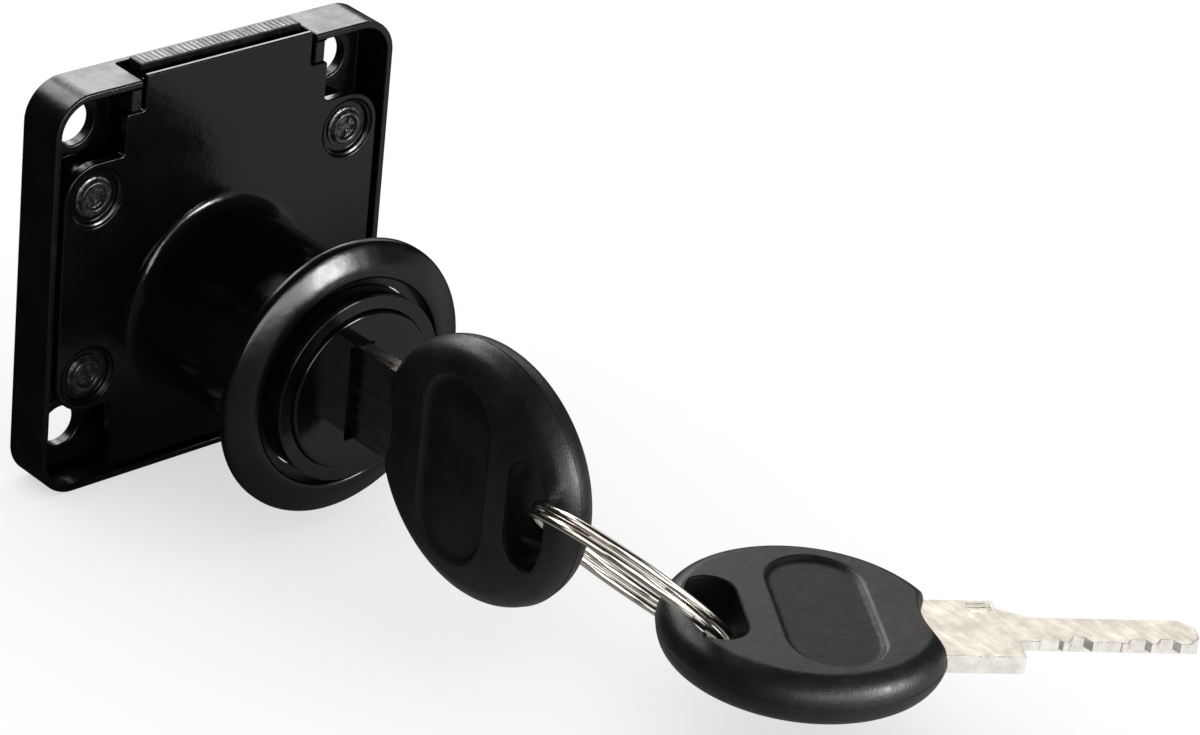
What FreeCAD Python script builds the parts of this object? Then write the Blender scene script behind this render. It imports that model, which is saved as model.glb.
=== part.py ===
import FreeCAD, Part
import math
import os

# Desk drawer lock, in millimetres. A flat case is screwed behind a drawer front, and its barrel comes out
# through the front, with a trim ring round it. A key turns the plug in the barrel by half a turn, and a
# pin on the back of the plug lifts the bolt out of the top of the case. Two keys hang on a split ring.
#
# The origin is the centre of the four mounting holes, on the back of the case, where the screw heads rest.
# X is to the right of someone who faces the lock, Y goes into the drawer and Z is up, the way of the bolt.

Vector = FreeCAD.Vector
ORIGIN = Vector(0, 0, 0)
ALONG_X = Vector(1, 0, 0)
ALONG_Y = Vector(0, 1, 0)
ALONG_Z = Vector(0, 0, 1)

# Case: a moulded tray that is open to the front
case_width = 40.0
case_height = 42.0
case_depth = 5.2
case_corner_r = 4.5
case_wall = 1.3
rear_wall = 0.8
case_edge_r = 0.3
mount_x = 15.0
mount_z = 16.0
mount_hole_r = 2.1
mount_collar_wall = 1.0
mount_collar_height = 1.0

# Cover: a plus-shaped plate that carries the barrel
cover_recess = 0.1
cover_thick = 1.0
cover_gap = 0.1
ear_r = 3.6
upper_screw_z = 10.0
lower_screw_z = -8.8
neck_half_width = 11.9
neck_height = 4.2
tab_half_width = 9.8
tab_proud = 0.8
foot_half_width = 12.1
foot_corner_r = 1.2

# Barrel
barrel_drop = 4.15
barrel_r = 9.5
barrel_length = 21.8
barrel_base_fillet = 1.5
barrel_edge = 0.35

# Cover screws
screw_head_r = 2.3
screw_head_height = 0.6
screw_r = 1.0
screw_length = 3.3
screw_cross_width = 0.6
screw_cross_depth = 0.35
screw_fit = 0.02
counterbore_gap = 0.35
post_wall = 1.6

# Bolt and its guides
bolt_half_width = 9.5
bolt_thick = 2.2
bolt_front_gap = 0.2
bolt_proud = 0.95
bolt_below_pin = 5.0
bolt_edge = 0.25
bolt_slot_gap = 0.75
guide_gap = 0.1
guide_wall = 1.2
rail_x = 6.0
rail_width = 1.5
slide_gap = 0.06

# Plug and the pin that drives the bolt
plug_r = 7.0
plug_gap = 0.05
flange_r = 8.0
flange_depth = 1.8
plug_proud = 0.4
plug_edge = 0.3
plug_back_gap = 0.05
pin_r = 1.5
pin_throw = 4.0
pin_short = 0.1
stop_height = 0.9
stop_ring = 0.75
stop_gap = 0.1
stop_half_angle = 10.0
stop_slack_angle = 1.5
turn_angle = 180.0

# Wafers and their springs
wafer_count = 5
wafer_thick = 1.0
wafer_half_width = 2.9
wafer_end_gap = 0.15
wafer_rise = 0.9
wafer_window_drop = 0.55
wafer_gap = 0.05
wafer_groove_depth = 1.2
first_wafer_setback = 4.25
last_wafer_setback = 3.2
ear_width = 1.7
ear_height = 1.2
ear_top_z = 0.2
spring_pocket_floor_z = -5.2
spring_wire_r = 0.13
spring_r = 0.56
spring_turns = 5
pocket_gap = 0.15

# Retainer that keeps the plug in the barrel
retainer_stand_off = 1.6
retainer_thick = 1.2
retainer_half_width = 2.4
retainer_proud = 0.9
retainer_travel = 0.9
retainer_foot_z = 1.5
retainer_pocket_z = -2.2
retainer_spring_r = 0.72
retainer_spring_wire_r = 0.18
retainer_spring_turns = 4

# Trim ring
trim_width = 4.45
trim_ledge = 1.0
trim_height = 1.7
trim_edge = 0.35
trim_lip = 0.8
trim_setback = 3.25
trim_crest_drop = 0.2
trim_crest_width = 0.55
trim_hollow_depth = 0.5
trim_hollow_wall = 0.7
trim_gap = 0.1

# Keys: sizes in the key's own frame, from the middle of its head, with the blade along +Y
head_length_r = 13.3
head_width_r = 12.8
head_thick = 5.0
head_edge_r = 2.0
scallop_r = 10.0
scallop_depth = 2.3
ring_hole_y = -8.3
ring_hole_half_width = 2.4
ring_hole_edge = 0.35
ring_hole_half_length = 5.3
panel_y = 1.7
panel_half_width = 4.6
panel_half_length = 9.5
panel_depth = 0.45
shank_half_height = 4.8
shank_end_y = 19.4
shank_top_setback = 1.0
shank_top_step = 1.2
shank_taper = 2.8
shank_start_y = 4.5
key_thick = 1.8
blade_half_height = 2.1
tip_bevel = 1.3
bite_depths = (0.45, 0.9, 0.15, 0.65, 0.8)
bite_mouth = 2.3
bite_flank = 0.7
ward_depth = 0.8
ward_height = 1.3
shank_notch_length = 3.0
shank_notch_height = 1.3
shank_notch_depth = 0.5
shank_notch_margin = 0.2
key_seat = 1.7
keyway_gap = 0.1
keyway_end_gap = 0.2
keyway_end_wall = 0.5

# Split ring
ring_mean_r = 10.3
ring_wire_r = 0.42
ring_turn_gap = 0.42
ring_cross_angle = 26.0
ring_cross_place = 225.0
ring_axis = Vector(0.7013, 0.0355, 0.7119)
ring_out = Vector(0.1809, -0.9513, -0.2495)
ring_past_hole = 0.12
spare_out = Vector(0.3786, -0.8651, -0.3291)
spare_past_hole = 1.42
spare_blade = Vector(0.8404, -0.5415, -0.0244)
spare_up = Vector(0.0225, -0.0101, 0.9997)

# Places that follow from the sizes
axis_z = -barrel_drop
drawer_face = -case_depth
cover_front = drawer_face + cover_recess
cover_back = cover_front + cover_thick
cavity_back = -rear_wall
inner_half_width = case_width / 2 - case_wall
inner_half_height = case_height / 2 - case_wall
cover_half_width = inner_half_width - cover_gap
cover_bottom = -inner_half_height + cover_gap
screw_x = cover_half_width - ear_r
neck_foot_z = upper_screw_z + ear_r
neck_top_z = neck_foot_z + neck_height
tab_top_z = case_height / 2 + tab_proud
bolt_front = cover_back + bolt_front_gap
bolt_back = bolt_front + bolt_thick
bolt_top = case_height / 2 + bolt_proud
bolt_slot_half_width = bolt_half_width + bolt_slot_gap
pin_rest_z = axis_z - pin_throw
barrel_front = drawer_face - barrel_length
counterbore_floor = barrel_front + flange_depth
plug_face = barrel_front - plug_proud
plug_rear = cover_back - plug_back_gap
bore_r = plug_r + plug_gap
throw = 2 * pin_throw
trim_r = barrel_r + trim_width
trim_mouth_r = barrel_r + trim_ledge
retainer_y = drawer_face - retainer_stand_off
retainer_pocket_r = retainer_spring_r + retainer_spring_wire_r + pocket_gap
keyway_end = retainer_y - retainer_pocket_r - keyway_end_wall
key_y = plug_face + key_seat - shank_end_y
blade_tip_y = keyway_end - keyway_end_gap - key_y
blade_start_y = shank_end_y - shank_top_setback + shank_taper
first_wafer_y = barrel_front + first_wafer_setback
last_wafer_y = key_y + blade_tip_y - last_wafer_setback
wafer_pitch = (last_wafer_y - first_wafer_y) / (wafer_count - 1)
wafer_places = [first_wafer_y + wafer_pitch * i for i in range(wafer_count)]

os.makedirs("parts", exist_ok=True)


def block(xs, ys, zs):
    """A box between two values on each axis."""
    size = [max(pair) - min(pair) for pair in (xs, ys, zs)]
    return Part.makeBox(size[0], size[1], size[2], Vector(min(xs), min(ys), min(zs)))


def rod(radius, y_from, y_to, x=0.0, z=0.0):
    """A cylinder along Y."""
    low = min(y_from, y_to)
    return Part.makeCylinder(radius, abs(y_to - y_from), Vector(x, low, z), ALONG_Y)


def rounded_block(half_width, half_height, corner_r, y_from, y_to):
    """A plate across Y with round corners."""
    plate = block((-half_width, half_width), (y_from, y_to), (-half_height, half_height))
    corners = [edge for edge in plate.Edges if abs(edge.tangentAt(edge.FirstParameter).y) > 0.99]
    return plate.makeFillet(corner_r, corners)


def outline(points):
    """A closed wire; a point given as (through, to) ends an arc."""
    edges = []
    here = points[0]
    for item in points[1:] + [points[0]]:
        if isinstance(item, tuple):
            edges.append(Part.Arc(here, item[0], item[1]).toShape())
            here = item[1]
        elif (item - here).Length > 1e-6:
            edges.append(Part.LineSegment(here, item).toShape())
            here = item
    return Part.Wire(edges)


def turned(points):
    """A ring or rod turned round the barrel's axis from (radius, y) points."""
    def at(pair):
        return Vector(pair[0], pair[1], axis_z)

    places = []
    for item in points:
        if isinstance(item[0], tuple):
            places.append((at(item[0]), at(item[1])))
        else:
            places.append(at(item))
    face = Part.Face(outline(places))
    return face.revolve(Vector(0, 0, axis_z), ALONG_Y, 360)


def sector(inner_r, outer_r, y_from, y_to, middle_angle, half_angle):
    """Part of a ring round the barrel's axis; angles go from +X towards -Z."""
    height = y_to - y_from
    ring = Part.makeCylinder(outer_r, height, ORIGIN, ALONG_Z, 2 * half_angle)
    ring = ring.cut(Part.makeCylinder(inner_r, height))
    ring.rotate(ORIGIN, ALONG_X, -90)
    ring.rotate(ORIGIN, ALONG_Y, middle_angle - half_angle)
    ring.translate(Vector(0, y_from, axis_z))
    return ring


def mirrored(shape):
    """The same shape on the other side of the middle plane."""
    return shape.mirror(ORIGIN, ALONG_X)


def both_sides(shape):
    return shape.fuse(mirrored(shape))


def biarc(start, start_way, end, end_way):
    """Two tangent arcs between two points with given directions."""
    span = end - start
    ways = start_way + end_way
    bend = 2 * (1 - start_way.dot(end_way))
    along = span.dot(ways)
    if bend < 1e-9:
        reach = span.dot(span) / (2 * along)
    else:
        reach = (math.sqrt(along * along + bend * span.dot(span)) - along) / bend
    first_corner = start + start_way * reach
    last_corner = end - end_way * reach
    joint = (first_corner + last_corner) * 0.5
    arcs = []
    for begin, corner, finish in ((start, first_corner, joint), (joint, last_corner, end)):
        middle = (begin + finish) * 0.5
        half_chord = (finish - begin).Length / 2
        rise = corner - middle
        if rise.Length < 1e-7:
            arcs.append(Part.LineSegment(begin, finish).toShape())
            continue
        sagitta = half_chord * math.tan(math.acos(min(1.0, half_chord / reach)) / 2)
        arcs.append(Part.Arc(begin, middle + rise.normalize() * sagitta, finish).toShape())
    return arcs


def wire_tube(stations, wire_r, name):
    """An unbroken round wire through (place, direction) stations."""
    edges = []
    for (start, start_way), (end, end_way) in zip(stations[:-1], stations[1:]):
        edges.extend(biarc(start, start_way, end, end_way))
    path = Part.Wire(edges)
    section = Part.Wire(Part.makeCircle(wire_r, stations[0][0], stations[0][1]))
    tube = path.makePipeShell([section], True, False)
    if not tube.isValid() or tube.Volume < 0:
        tube = tube.copy()
        tube.fix(1e-6, 1e-6, 1e-6)
    wanted = math.pi * wire_r ** 2 * path.Length
    print(name, "volume over section times length %.4f" % (tube.Volume / wanted))
    return tube, path


def least_gap(path, wire_r, turn_length):
    """The least distance of a wound wire to itself, less its thickness, measured on points."""
    points = path.discretize(Number=721)
    step = path.Length / 720
    apart = int(0.5 * turn_length / step)
    least = None
    for i in range(0, len(points), 2):
        for j in range(i + apart, len(points), 2):
            gap = (points[i] - points[j]).Length
            if least is None or gap < least:
                least = gap
    return least - 2 * wire_r


def coil(radius, wire_r, turns, foot, height):
    """A compression spring along Z with its lowest point at foot."""
    stations = []
    rise = height - 2 * wire_r
    pitch = rise / turns
    slope = Vector(0, 2 * math.pi * radius, pitch)
    for quarter in range(4 * turns + 1):
        angle = math.pi / 2 * quarter
        place = Vector(math.cos(angle), math.sin(angle), 0) * radius
        place.z = wire_r + pitch * quarter / 4
        way = Vector(-math.sin(angle) * slope.y, math.cos(angle) * slope.y, slope.z).normalize()
        stations.append((place + foot, way))
    tube, path = wire_tube(stations, wire_r, "spring")
    print("spring least gap to itself %.2f" % least_gap(path, wire_r, 2 * math.pi * radius))
    return tube


def make_case():
    case = rounded_block(case_width / 2, case_height / 2, case_corner_r, drawer_face, 0)
    rear_edges = [edge for edge in case.Edges if abs(edge.CenterOfMass.y) < 1e-6]
    case = case.makeFillet(case_edge_r, rear_edges)
    case = case.cut(rounded_block(inner_half_width, inner_half_height, case_corner_r - case_wall,
                                  drawer_face - 1, cavity_back))
    # Notch in the top wall for the bolt and the cover's tab
    case = case.cut(block((-bolt_slot_half_width, bolt_slot_half_width), (drawer_face - 1, cavity_back),
                          (inner_half_height - 1, case_height)))
    # Walls beside the notch, guides beside the bolt and rails behind it
    lip = block((bolt_slot_half_width, bolt_slot_half_width + guide_wall), (cover_front, cavity_back + 0.1),
                (neck_top_z + cover_gap, inner_half_height + 0.1))
    guide_face = bolt_half_width + guide_gap
    guide_foot = pin_rest_z - bolt_below_pin - guide_wall
    guide = block((guide_face, guide_face + guide_wall), (cover_back, cavity_back + 0.1),
                  (guide_foot, neck_top_z))
    rail = block((rail_x - rail_width / 2, rail_x + rail_width / 2),
                 (bolt_back + slide_gap, cavity_back + 0.1), (guide_foot, inner_half_height - case_wall))
    for piece in (lip, guide, rail):
        case = case.fuse(both_sides(piece))
    for z in (upper_screw_z, lower_screw_z):
        post = rod(screw_r + post_wall, cover_back, cavity_back + 0.1, screw_x, z)
        case = case.fuse(both_sides(post))
    collar_r = mount_hole_r + mount_collar_wall
    for z in (mount_z, -mount_z):
        collar = rod(collar_r, cavity_back - mount_collar_height, cavity_back + 0.1, mount_x, z)
        case = case.fuse(both_sides(collar))
    case = case.removeSplitter()
    for z in (upper_screw_z, lower_screw_z):
        pilot_end = cover_front + screw_head_height + screw_length + 0.1
        pilot = rod(screw_r + screw_fit, cover_back - 1, pilot_end, screw_x, z)
        case = case.cut(both_sides(pilot))
    for z in (mount_z, -mount_z):
        hole = rod(mount_hole_r, drawer_face, 1, mount_x, z)
        case = case.cut(both_sides(hole))
    return case


def make_cover():
    # The plate is a plus, with an ear round each screw, a tab at the top and a foot at the bottom
    ys = (cover_front, cover_back)
    plate = block((-foot_half_width, foot_half_width), ys, (cover_bottom, neck_foot_z))
    foot_corners = [edge for edge in plate.Edges
                    if abs(edge.tangentAt(edge.FirstParameter).y) > 0.99
                    and abs(edge.CenterOfMass.z - cover_bottom) < 1e-6]
    plate = plate.makeFillet(foot_corner_r, foot_corners)
    plate = plate.fuse(block((-cover_half_width, cover_half_width), ys, (lower_screw_z, upper_screw_z)))
    plate = plate.fuse(block((-screw_x, screw_x), ys, (lower_screw_z - ear_r, neck_foot_z)))
    for z in (upper_screw_z, lower_screw_z):
        plate = plate.fuse(both_sides(rod(ear_r, cover_front, cover_back, screw_x, z)))
    plate = plate.fuse(block((-neck_half_width, neck_half_width), ys, (neck_foot_z - 1, neck_top_z)))
    plate = plate.fuse(block((-tab_half_width, tab_half_width), ys, (neck_top_z - 1, tab_top_z)))
    plate = plate.removeSplitter()

    base = barrel_base_fillet
    bend = base * (1 - math.sqrt(0.5))
    barrel = turned([(1.0, cover_back), (1.0, barrel_front), (barrel_r - barrel_edge, barrel_front),
                     (barrel_r, barrel_front + barrel_edge), (barrel_r, cover_front - base),
                     ((barrel_r + bend, cover_front - bend), (barrel_r + base, cover_front)),
                     (barrel_r + base, cover_back)])
    cover = plate.fuse(barrel).removeSplitter()
    cover = cover.cut(rod(bore_r, barrel_front - 1, cover_back + 1, 0, axis_z))
    cover = cover.cut(rod(flange_r + plug_gap, barrel_front - 1, counterbore_floor, 0, axis_z))

    # Grooves above and below the plug, where the wafers reach when the key is out
    groove_half = wafer_half_width + 2 * wafer_gap
    groove_from = wafer_places[0] - wafer_thick
    groove_to = wafer_places[-1] + wafer_thick
    groove_r = bore_r + wafer_groove_depth
    cover = cover.cut(block((-groove_half, groove_half), (groove_from, groove_to),
                            (axis_z - groove_r, axis_z + groove_r)))
    # Ring groove for the retainer
    half = retainer_thick / 2 + 2 * wafer_gap
    cover = cover.cut(rod(bore_r + retainer_proud + 2 * wafer_gap, retainer_y - half, retainer_y + half, 0, axis_z))
    # Stop in the mouth, under the plug's flange
    stop = sector(flange_r + plug_gap - stop_ring, flange_r + plug_gap + 0.2,
                  counterbore_floor - stop_height, counterbore_floor, 90, stop_half_angle)
    cover = cover.fuse(stop).removeSplitter()

    for z in (upper_screw_z, lower_screw_z):
        hole = rod(screw_r + 5 * screw_fit, cover_front - 1, cover_back + 1, screw_x, z)
        seat = rod(screw_head_r + counterbore_gap, cover_front - 1, cover_front + screw_head_height, screw_x, z)
        cover = cover.cut(both_sides(hole.fuse(seat)))
    return cover


def make_screws():
    screws = []
    for x in (screw_x, -screw_x):
        for z in (upper_screw_z, lower_screw_z):
            top = cover_front
            under = top + screw_head_height
            head = rod(screw_head_r, top, under, x, z)
            rim = [edge for edge in head.Edges if abs(edge.CenterOfMass.y - top) < 1e-6]
            head = head.makeFillet(screw_head_height * 0.6, rim)
            screw = head.fuse(rod(screw_r, under, under + screw_length, x, z)).removeSplitter()
            arm = screw_head_r * 0.6
            half = screw_cross_width / 2
            depth = (top - 1, top + screw_cross_depth)
            screw = screw.cut(block((x - arm, x + arm), depth, (z - half, z + half)))
            screw = screw.cut(block((x - half, x + half), depth, (z - arm, z + arm)))
            screws.append(screw)
    return Part.makeCompound(screws)


def make_bolt():
    bolt = block((-bolt_half_width, bolt_half_width), (bolt_front, bolt_back),
                 (pin_rest_z - bolt_below_pin, bolt_top))
    top_edges = [edge for edge in bolt.Edges if abs(edge.CenterOfMass.z - bolt_top) < 1e-6]
    bolt = bolt.makeChamfer(bolt_edge, top_edges)
    # The bolt moves at a steady rate here, and the real pin's lift is a cosine: the slot holds the difference
    lag = max(abs(throw * part / 100 - pin_throw * (1 - math.cos(math.pi * part / 100))) for part in range(101))
    slot_half = pin_r + lag + slide_gap
    reach = pin_throw + pin_r + slide_gap
    slot = block((-reach, reach), (bolt_front - 1, bolt_back + 1), (pin_rest_z - slot_half, pin_rest_z + slot_half))
    return bolt.cut(slot)


def make_plug():
    flange_back = counterbore_floor - plug_gap
    plug = turned([(0.0, plug_face), (flange_r - plug_edge, plug_face), (flange_r, plug_face + plug_edge),
                   (flange_r, flange_back), (plug_r, flange_back), (plug_r, plug_rear), (0.0, plug_rear)])
    pin = rod(pin_r, plug_rear - 0.5, bolt_back - pin_short, 0, pin_rest_z)
    plug = plug.fuse(pin).removeSplitter()
    # Room under the flange for the stop, half a turn long
    room_half = turn_angle / 2 + stop_half_angle + stop_slack_angle
    room = sector(flange_r + plug_gap - stop_ring - stop_gap, flange_r + 1,
                  counterbore_floor - stop_height - stop_gap, flange_back + 0.0,
                  90 - turn_angle / 2, room_half)
    plug = plug.cut(room)
    # Keyway, tall at the mouth for the shank
    half = key_thick / 2 + keyway_gap
    tall = blade_half_height + keyway_gap
    plug = plug.cut(block((-half, half), (plug_face - 1, keyway_end), (axis_z - tall, axis_z + tall)))
    mouth = shank_half_height + keyway_gap
    mouth_end = key_y + blade_start_y + keyway_end_gap
    plug = plug.cut(block((-half, half), (plug_face - 1, mouth_end), (axis_z - mouth, axis_z + mouth)))
    # Slots and spring pockets for the wafers
    thick = wafer_thick / 2 + wafer_gap
    wide = wafer_half_width + wafer_gap
    ear_out = wafer_half_width + ear_width
    for y in wafer_places:
        plug = plug.cut(block((-wide, wide), (y - thick, y + thick), (axis_z - flange_r, axis_z + flange_r)))
        plug = plug.cut(block((0, ear_out + wafer_gap), (y - thick, y + thick),
                              (axis_z + ear_top_z - ear_height - wafer_gap, axis_z + flange_r)))
        plug = plug.cut(spring_pocket(wafer_half_width + ear_width / 2, y, spring_pocket_floor_z,
                                      spring_r + spring_wire_r + pocket_gap))
    thick = retainer_thick / 2 + wafer_gap
    wide = retainer_half_width + wafer_gap
    plug = plug.cut(block((-wide, wide), (retainer_y - thick, retainer_y + thick),
                          (axis_z + retainer_foot_z - retainer_travel - wafer_gap, axis_z + flange_r)))
    plug = plug.cut(spring_pocket(0, retainer_y, retainer_pocket_z, retainer_pocket_r))
    return plug


def spring_pocket(x, y, floor_z, radius):
    """A blind hole from the top of the plug down to the spring's foot."""
    return Part.makeCylinder(radius, flange_r - floor_z, Vector(x, y, axis_z + floor_z), ALONG_Z)


def make_wafer(y):
    front = y - wafer_thick / 2
    back = y + wafer_thick / 2
    end_r = plug_r - wafer_end_gap
    wafer = block((-wafer_half_width, wafer_half_width), (front, back), (axis_z - end_r, axis_z + end_r))
    wafer = wafer.common(rod(end_r, front, back, 0, axis_z))
    ear = block((0, wafer_half_width + ear_width), (front, back),
                (axis_z + ear_top_z - ear_height, axis_z + ear_top_z))
    wafer = wafer.fuse(ear).removeSplitter()
    half = key_thick / 2 + keyway_gap + wafer_gap
    window = block((-half, half), (front - 1, back + 1),
                   (axis_z - blade_half_height - wafer_window_drop, axis_z + blade_half_height + keyway_gap))
    return wafer.cut(window)


def make_wafer_spring(y):
    foot = Vector(wafer_half_width + ear_width / 2, y, axis_z + spring_pocket_floor_z)
    height = ear_top_z - ear_height - spring_pocket_floor_z
    return coil(spring_r, spring_wire_r, spring_turns, foot, height)


def make_retainer():
    front = retainer_y - retainer_thick / 2
    back = retainer_y + retainer_thick / 2
    plate = block((-retainer_half_width, retainer_half_width), (front, back),
                  (axis_z + retainer_foot_z, axis_z + flange_r + retainer_proud))
    return plate.common(rod(plug_r + retainer_proud, front, back, 0, axis_z))


def make_retainer_spring():
    foot = Vector(0, retainer_y, axis_z + retainer_pocket_z)
    return coil(retainer_spring_r, retainer_spring_wire_r, retainer_spring_turns, foot,
                retainer_foot_z - retainer_pocket_z)


def make_trim_ring():
    back = barrel_front + trim_setback
    bore = barrel_r + trim_gap
    front = back - trim_height
    crest_r = trim_mouth_r + trim_crest_width
    shoulder = (crest_r + (trim_r - crest_r) * 0.62, back - trim_edge - (trim_height - trim_edge) * 0.72)
    crest = (crest_r, front - trim_crest_drop)
    hollow_out = trim_r - trim_hollow_wall
    hollow_in = bore + trim_hollow_wall
    return turned([(bore, back), (hollow_in, back), (hollow_in + trim_hollow_depth, back - trim_hollow_depth),
                   (hollow_out - trim_hollow_depth, back - trim_hollow_depth), (hollow_out, back),
                   (trim_r, back), (trim_r, back - trim_edge), (shoulder, crest), (trim_mouth_r, front),
                   (trim_mouth_r, back - trim_lip), (bore, back - trim_lip)])


def stadium(half_width, half_length, y, x_from, x_to):
    """A prism across X with two round ends, long along Z."""
    straight = half_length - half_width
    corners = [Vector(x_from, y - half_width, -straight), Vector(x_from, y - half_width, straight),
               (Vector(x_from, y, half_length), Vector(x_from, y + half_width, straight)),
               Vector(x_from, y + half_width, -straight),
               (Vector(x_from, y, -half_length), Vector(x_from, y - half_width, -straight))]
    return Part.Face(outline(corners)).extrude(Vector(x_to - x_from, 0, 0))


def make_key_blade():
    # Tang, shank and blade are one stamped piece; the bites are on its lower edge
    half = key_thick / 2
    low = -blade_half_height
    shank_top_end = shank_end_y - shank_top_setback
    points = [(shank_start_y, -shank_half_height), (shank_end_y, -shank_half_height), (shank_end_y, low)]
    for y, depth in zip(wafer_places, bite_depths):
        middle = y - key_y
        mouth = bite_mouth / 2
        floor = mouth - bite_flank * depth
        points += [(middle - mouth, low), (middle - floor, low + depth),
                   (middle + floor, low + depth), (middle + mouth, low)]
    points += [(blade_tip_y - tip_bevel, low), (blade_tip_y, low + tip_bevel),
               (blade_tip_y, blade_half_height - tip_bevel), (blade_tip_y - tip_bevel, blade_half_height),
               (blade_start_y, blade_half_height), (shank_top_end, shank_half_height - shank_top_step),
               (shank_top_end, shank_half_height), (shank_start_y, shank_half_height)]
    face = Part.Face(outline([Vector(-half, y, z) for y, z in points]))
    blade = face.extrude(Vector(key_thick, 0, 0))
    # A ward along the far side thins the cut edge, and a stamped notch marks the end of the shank
    ward = block((-half - 1, ward_depth - half), (shank_end_y, blade_tip_y + 1), (low - 1, low + ward_height))
    notch = block((half - shank_notch_depth, half + 1),
                  (shank_top_end - shank_notch_length, shank_top_end - shank_notch_margin),
                  (shank_half_height - shank_notch_height, shank_half_height - shank_notch_margin))
    return blade.cut(ward).cut(notch)


def make_key_head():
    half = head_thick / 2
    oval = Part.Ellipse(ORIGIN, head_length_r, head_width_r).toShape()
    head = Part.Face(Part.Wire(oval)).extrude(Vector(0, 0, head_thick))
    head.rotate(ORIGIN, ALONG_Z, 90)
    head.rotate(ORIGIN, ALONG_Y, 90)
    head.translate(Vector(-half, 0, 0))
    rims = [edge for edge in head.Edges if abs(abs(edge.CenterOfMass.x) - half) < 1e-6]
    head = head.makeFillet(head_edge_r, rims)
    scallop_y = head_length_r - scallop_depth + scallop_r
    head = head.cut(Part.makeCylinder(scallop_r, head_thick + 2, Vector(-half - 1, scallop_y, 0), ALONG_X))
    head = head.cut(stadium(ring_hole_half_width, ring_hole_half_length, ring_hole_y, -half - 1, half + 1))
    hole_rims = [edge for edge in head.Edges
                 if abs(abs(edge.BoundBox.Center.x) - half) < 1e-6 and edge.BoundBox.XLength < 1e-6
                 and edge.BoundBox.YMax < ring_hole_y + ring_hole_half_width + 0.01
                 and edge.BoundBox.YMin > ring_hole_y - ring_hole_half_width - 0.01
                 and edge.BoundBox.ZLength < 2 * ring_hole_half_length]
    head = head.makeFillet(ring_hole_edge, hole_rims)
    for side in (1, -1):
        head = head.cut(stadium(panel_half_width, panel_half_length, panel_y,
                                side * (half - panel_depth), side * (half + 1)))
    tang = block((-key_thick / 2, key_thick / 2), (shank_start_y, head_length_r + 1),
                 (-shank_half_height, shank_half_height))
    return head.cut(tang)


def seated(shape, origin, up, along):
    """Puts a key down with its thickness along up and its blade along a direction."""
    along = Vector(along).normalize()
    across = Vector(up).cross(along).normalize()
    up = along.cross(across)
    turn = FreeCAD.Matrix(up.x, along.x, across.x, origin.x,
                          up.y, along.y, across.y, origin.y,
                          up.z, along.z, across.z, origin.z, 0, 0, 0, 1)
    placed = shape.copy()
    placed.Placement = FreeCAD.Placement(turn).multiply(placed.Placement)
    return placed


# The ring goes through the first key's hole, and the spare key's hole lies on it
first_key_place = Vector(0, key_y, axis_z)
first_hole = first_key_place + Vector(0, ring_hole_y, 0)
ring_centre = first_hole + Vector(ring_out).normalize() * (ring_mean_r - ring_past_hole)
spare_hole = ring_centre + Vector(spare_out).normalize() * (ring_mean_r - spare_past_hole)
spare_key_place = spare_hole - Vector(spare_blade).normalize() * ring_hole_y


def make_split_ring():
    """Two turns of wire, one above the other, that change places in one short stretch."""
    layer = ring_wire_r + ring_turn_gap / 2
    axis = Vector(ring_axis).normalize()
    towards_hole = first_hole - ring_centre
    first = (towards_hole - axis * towards_hole.dot(axis)).normalize()
    second = axis.cross(first)
    stations = []

    def station(angle, level):
        turn = math.radians(angle + ring_cross_place)
        place = first * math.cos(turn) + second * math.sin(turn)
        way = second * math.cos(turn) - first * math.sin(turn)
        stations.append((ring_centre + place * ring_mean_r + axis * level, way))

    quarter = (360 - 2 * ring_cross_angle) / 4
    for i in range(5):
        station(ring_cross_angle + quarter * i, layer)
    for i in range(5):
        station(360 + ring_cross_angle + quarter * i, -layer)
    tube, path = wire_tube(stations, ring_wire_r, "split ring")
    gap = least_gap(path, ring_wire_r, 2 * math.pi * ring_mean_r)
    print("split ring least gap to itself %.2f" % gap)
    return tube


def save(name, shape):
    solids = len(shape.Solids)
    print("%-18s solids %d  volume %9.2f  valid %s" % (name, solids, shape.Volume, shape.isValid()))
    shape.exportStep("parts/" + name + ".step")


save("rear_case", make_case())
save("front_cover", make_cover())
save("cover_screws", make_screws())
save("bolt", make_bolt())
save("plug", make_plug())
for number, place in enumerate(wafer_places, 1):
    save("wafer_%d" % number, make_wafer(place))
    save("wafer_spring_%d" % number, make_wafer_spring(place))
save("retainer", make_retainer())
save("retainer_spring", make_retainer_spring())
save("trim_ring", make_trim_ring())
blade = make_key_blade()
head = make_key_head()
save("key_blade", seated(blade, first_key_place, ALONG_X, ALONG_Y))
save("key_head", seated(head, first_key_place, ALONG_X, ALONG_Y))
save("spare_key_blade", seated(blade, spare_key_place, spare_up, spare_blade))
save("spare_key_head", seated(head, spare_key_place, spare_up, spare_blade))
save("split_ring", make_split_ring())
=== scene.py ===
# %% [markdown]
# # A desk drawer lock, dressed for its portrait
# The lock is a black case that is screwed behind a drawer front, with a barrel that comes out through the front,
# a trim ring, a plug with its key, and a spare key on a split ring. Its solids come packed as a fixed frame, and
# this lesson gives each one the edges, grooves and finish that the real one has. Sizes are in millimetres, and
# every mesh is brought to metres once, when it is made.

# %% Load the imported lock
import math

import bmesh
import bpy
from mathutils import Matrix, Vector, geometry


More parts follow.
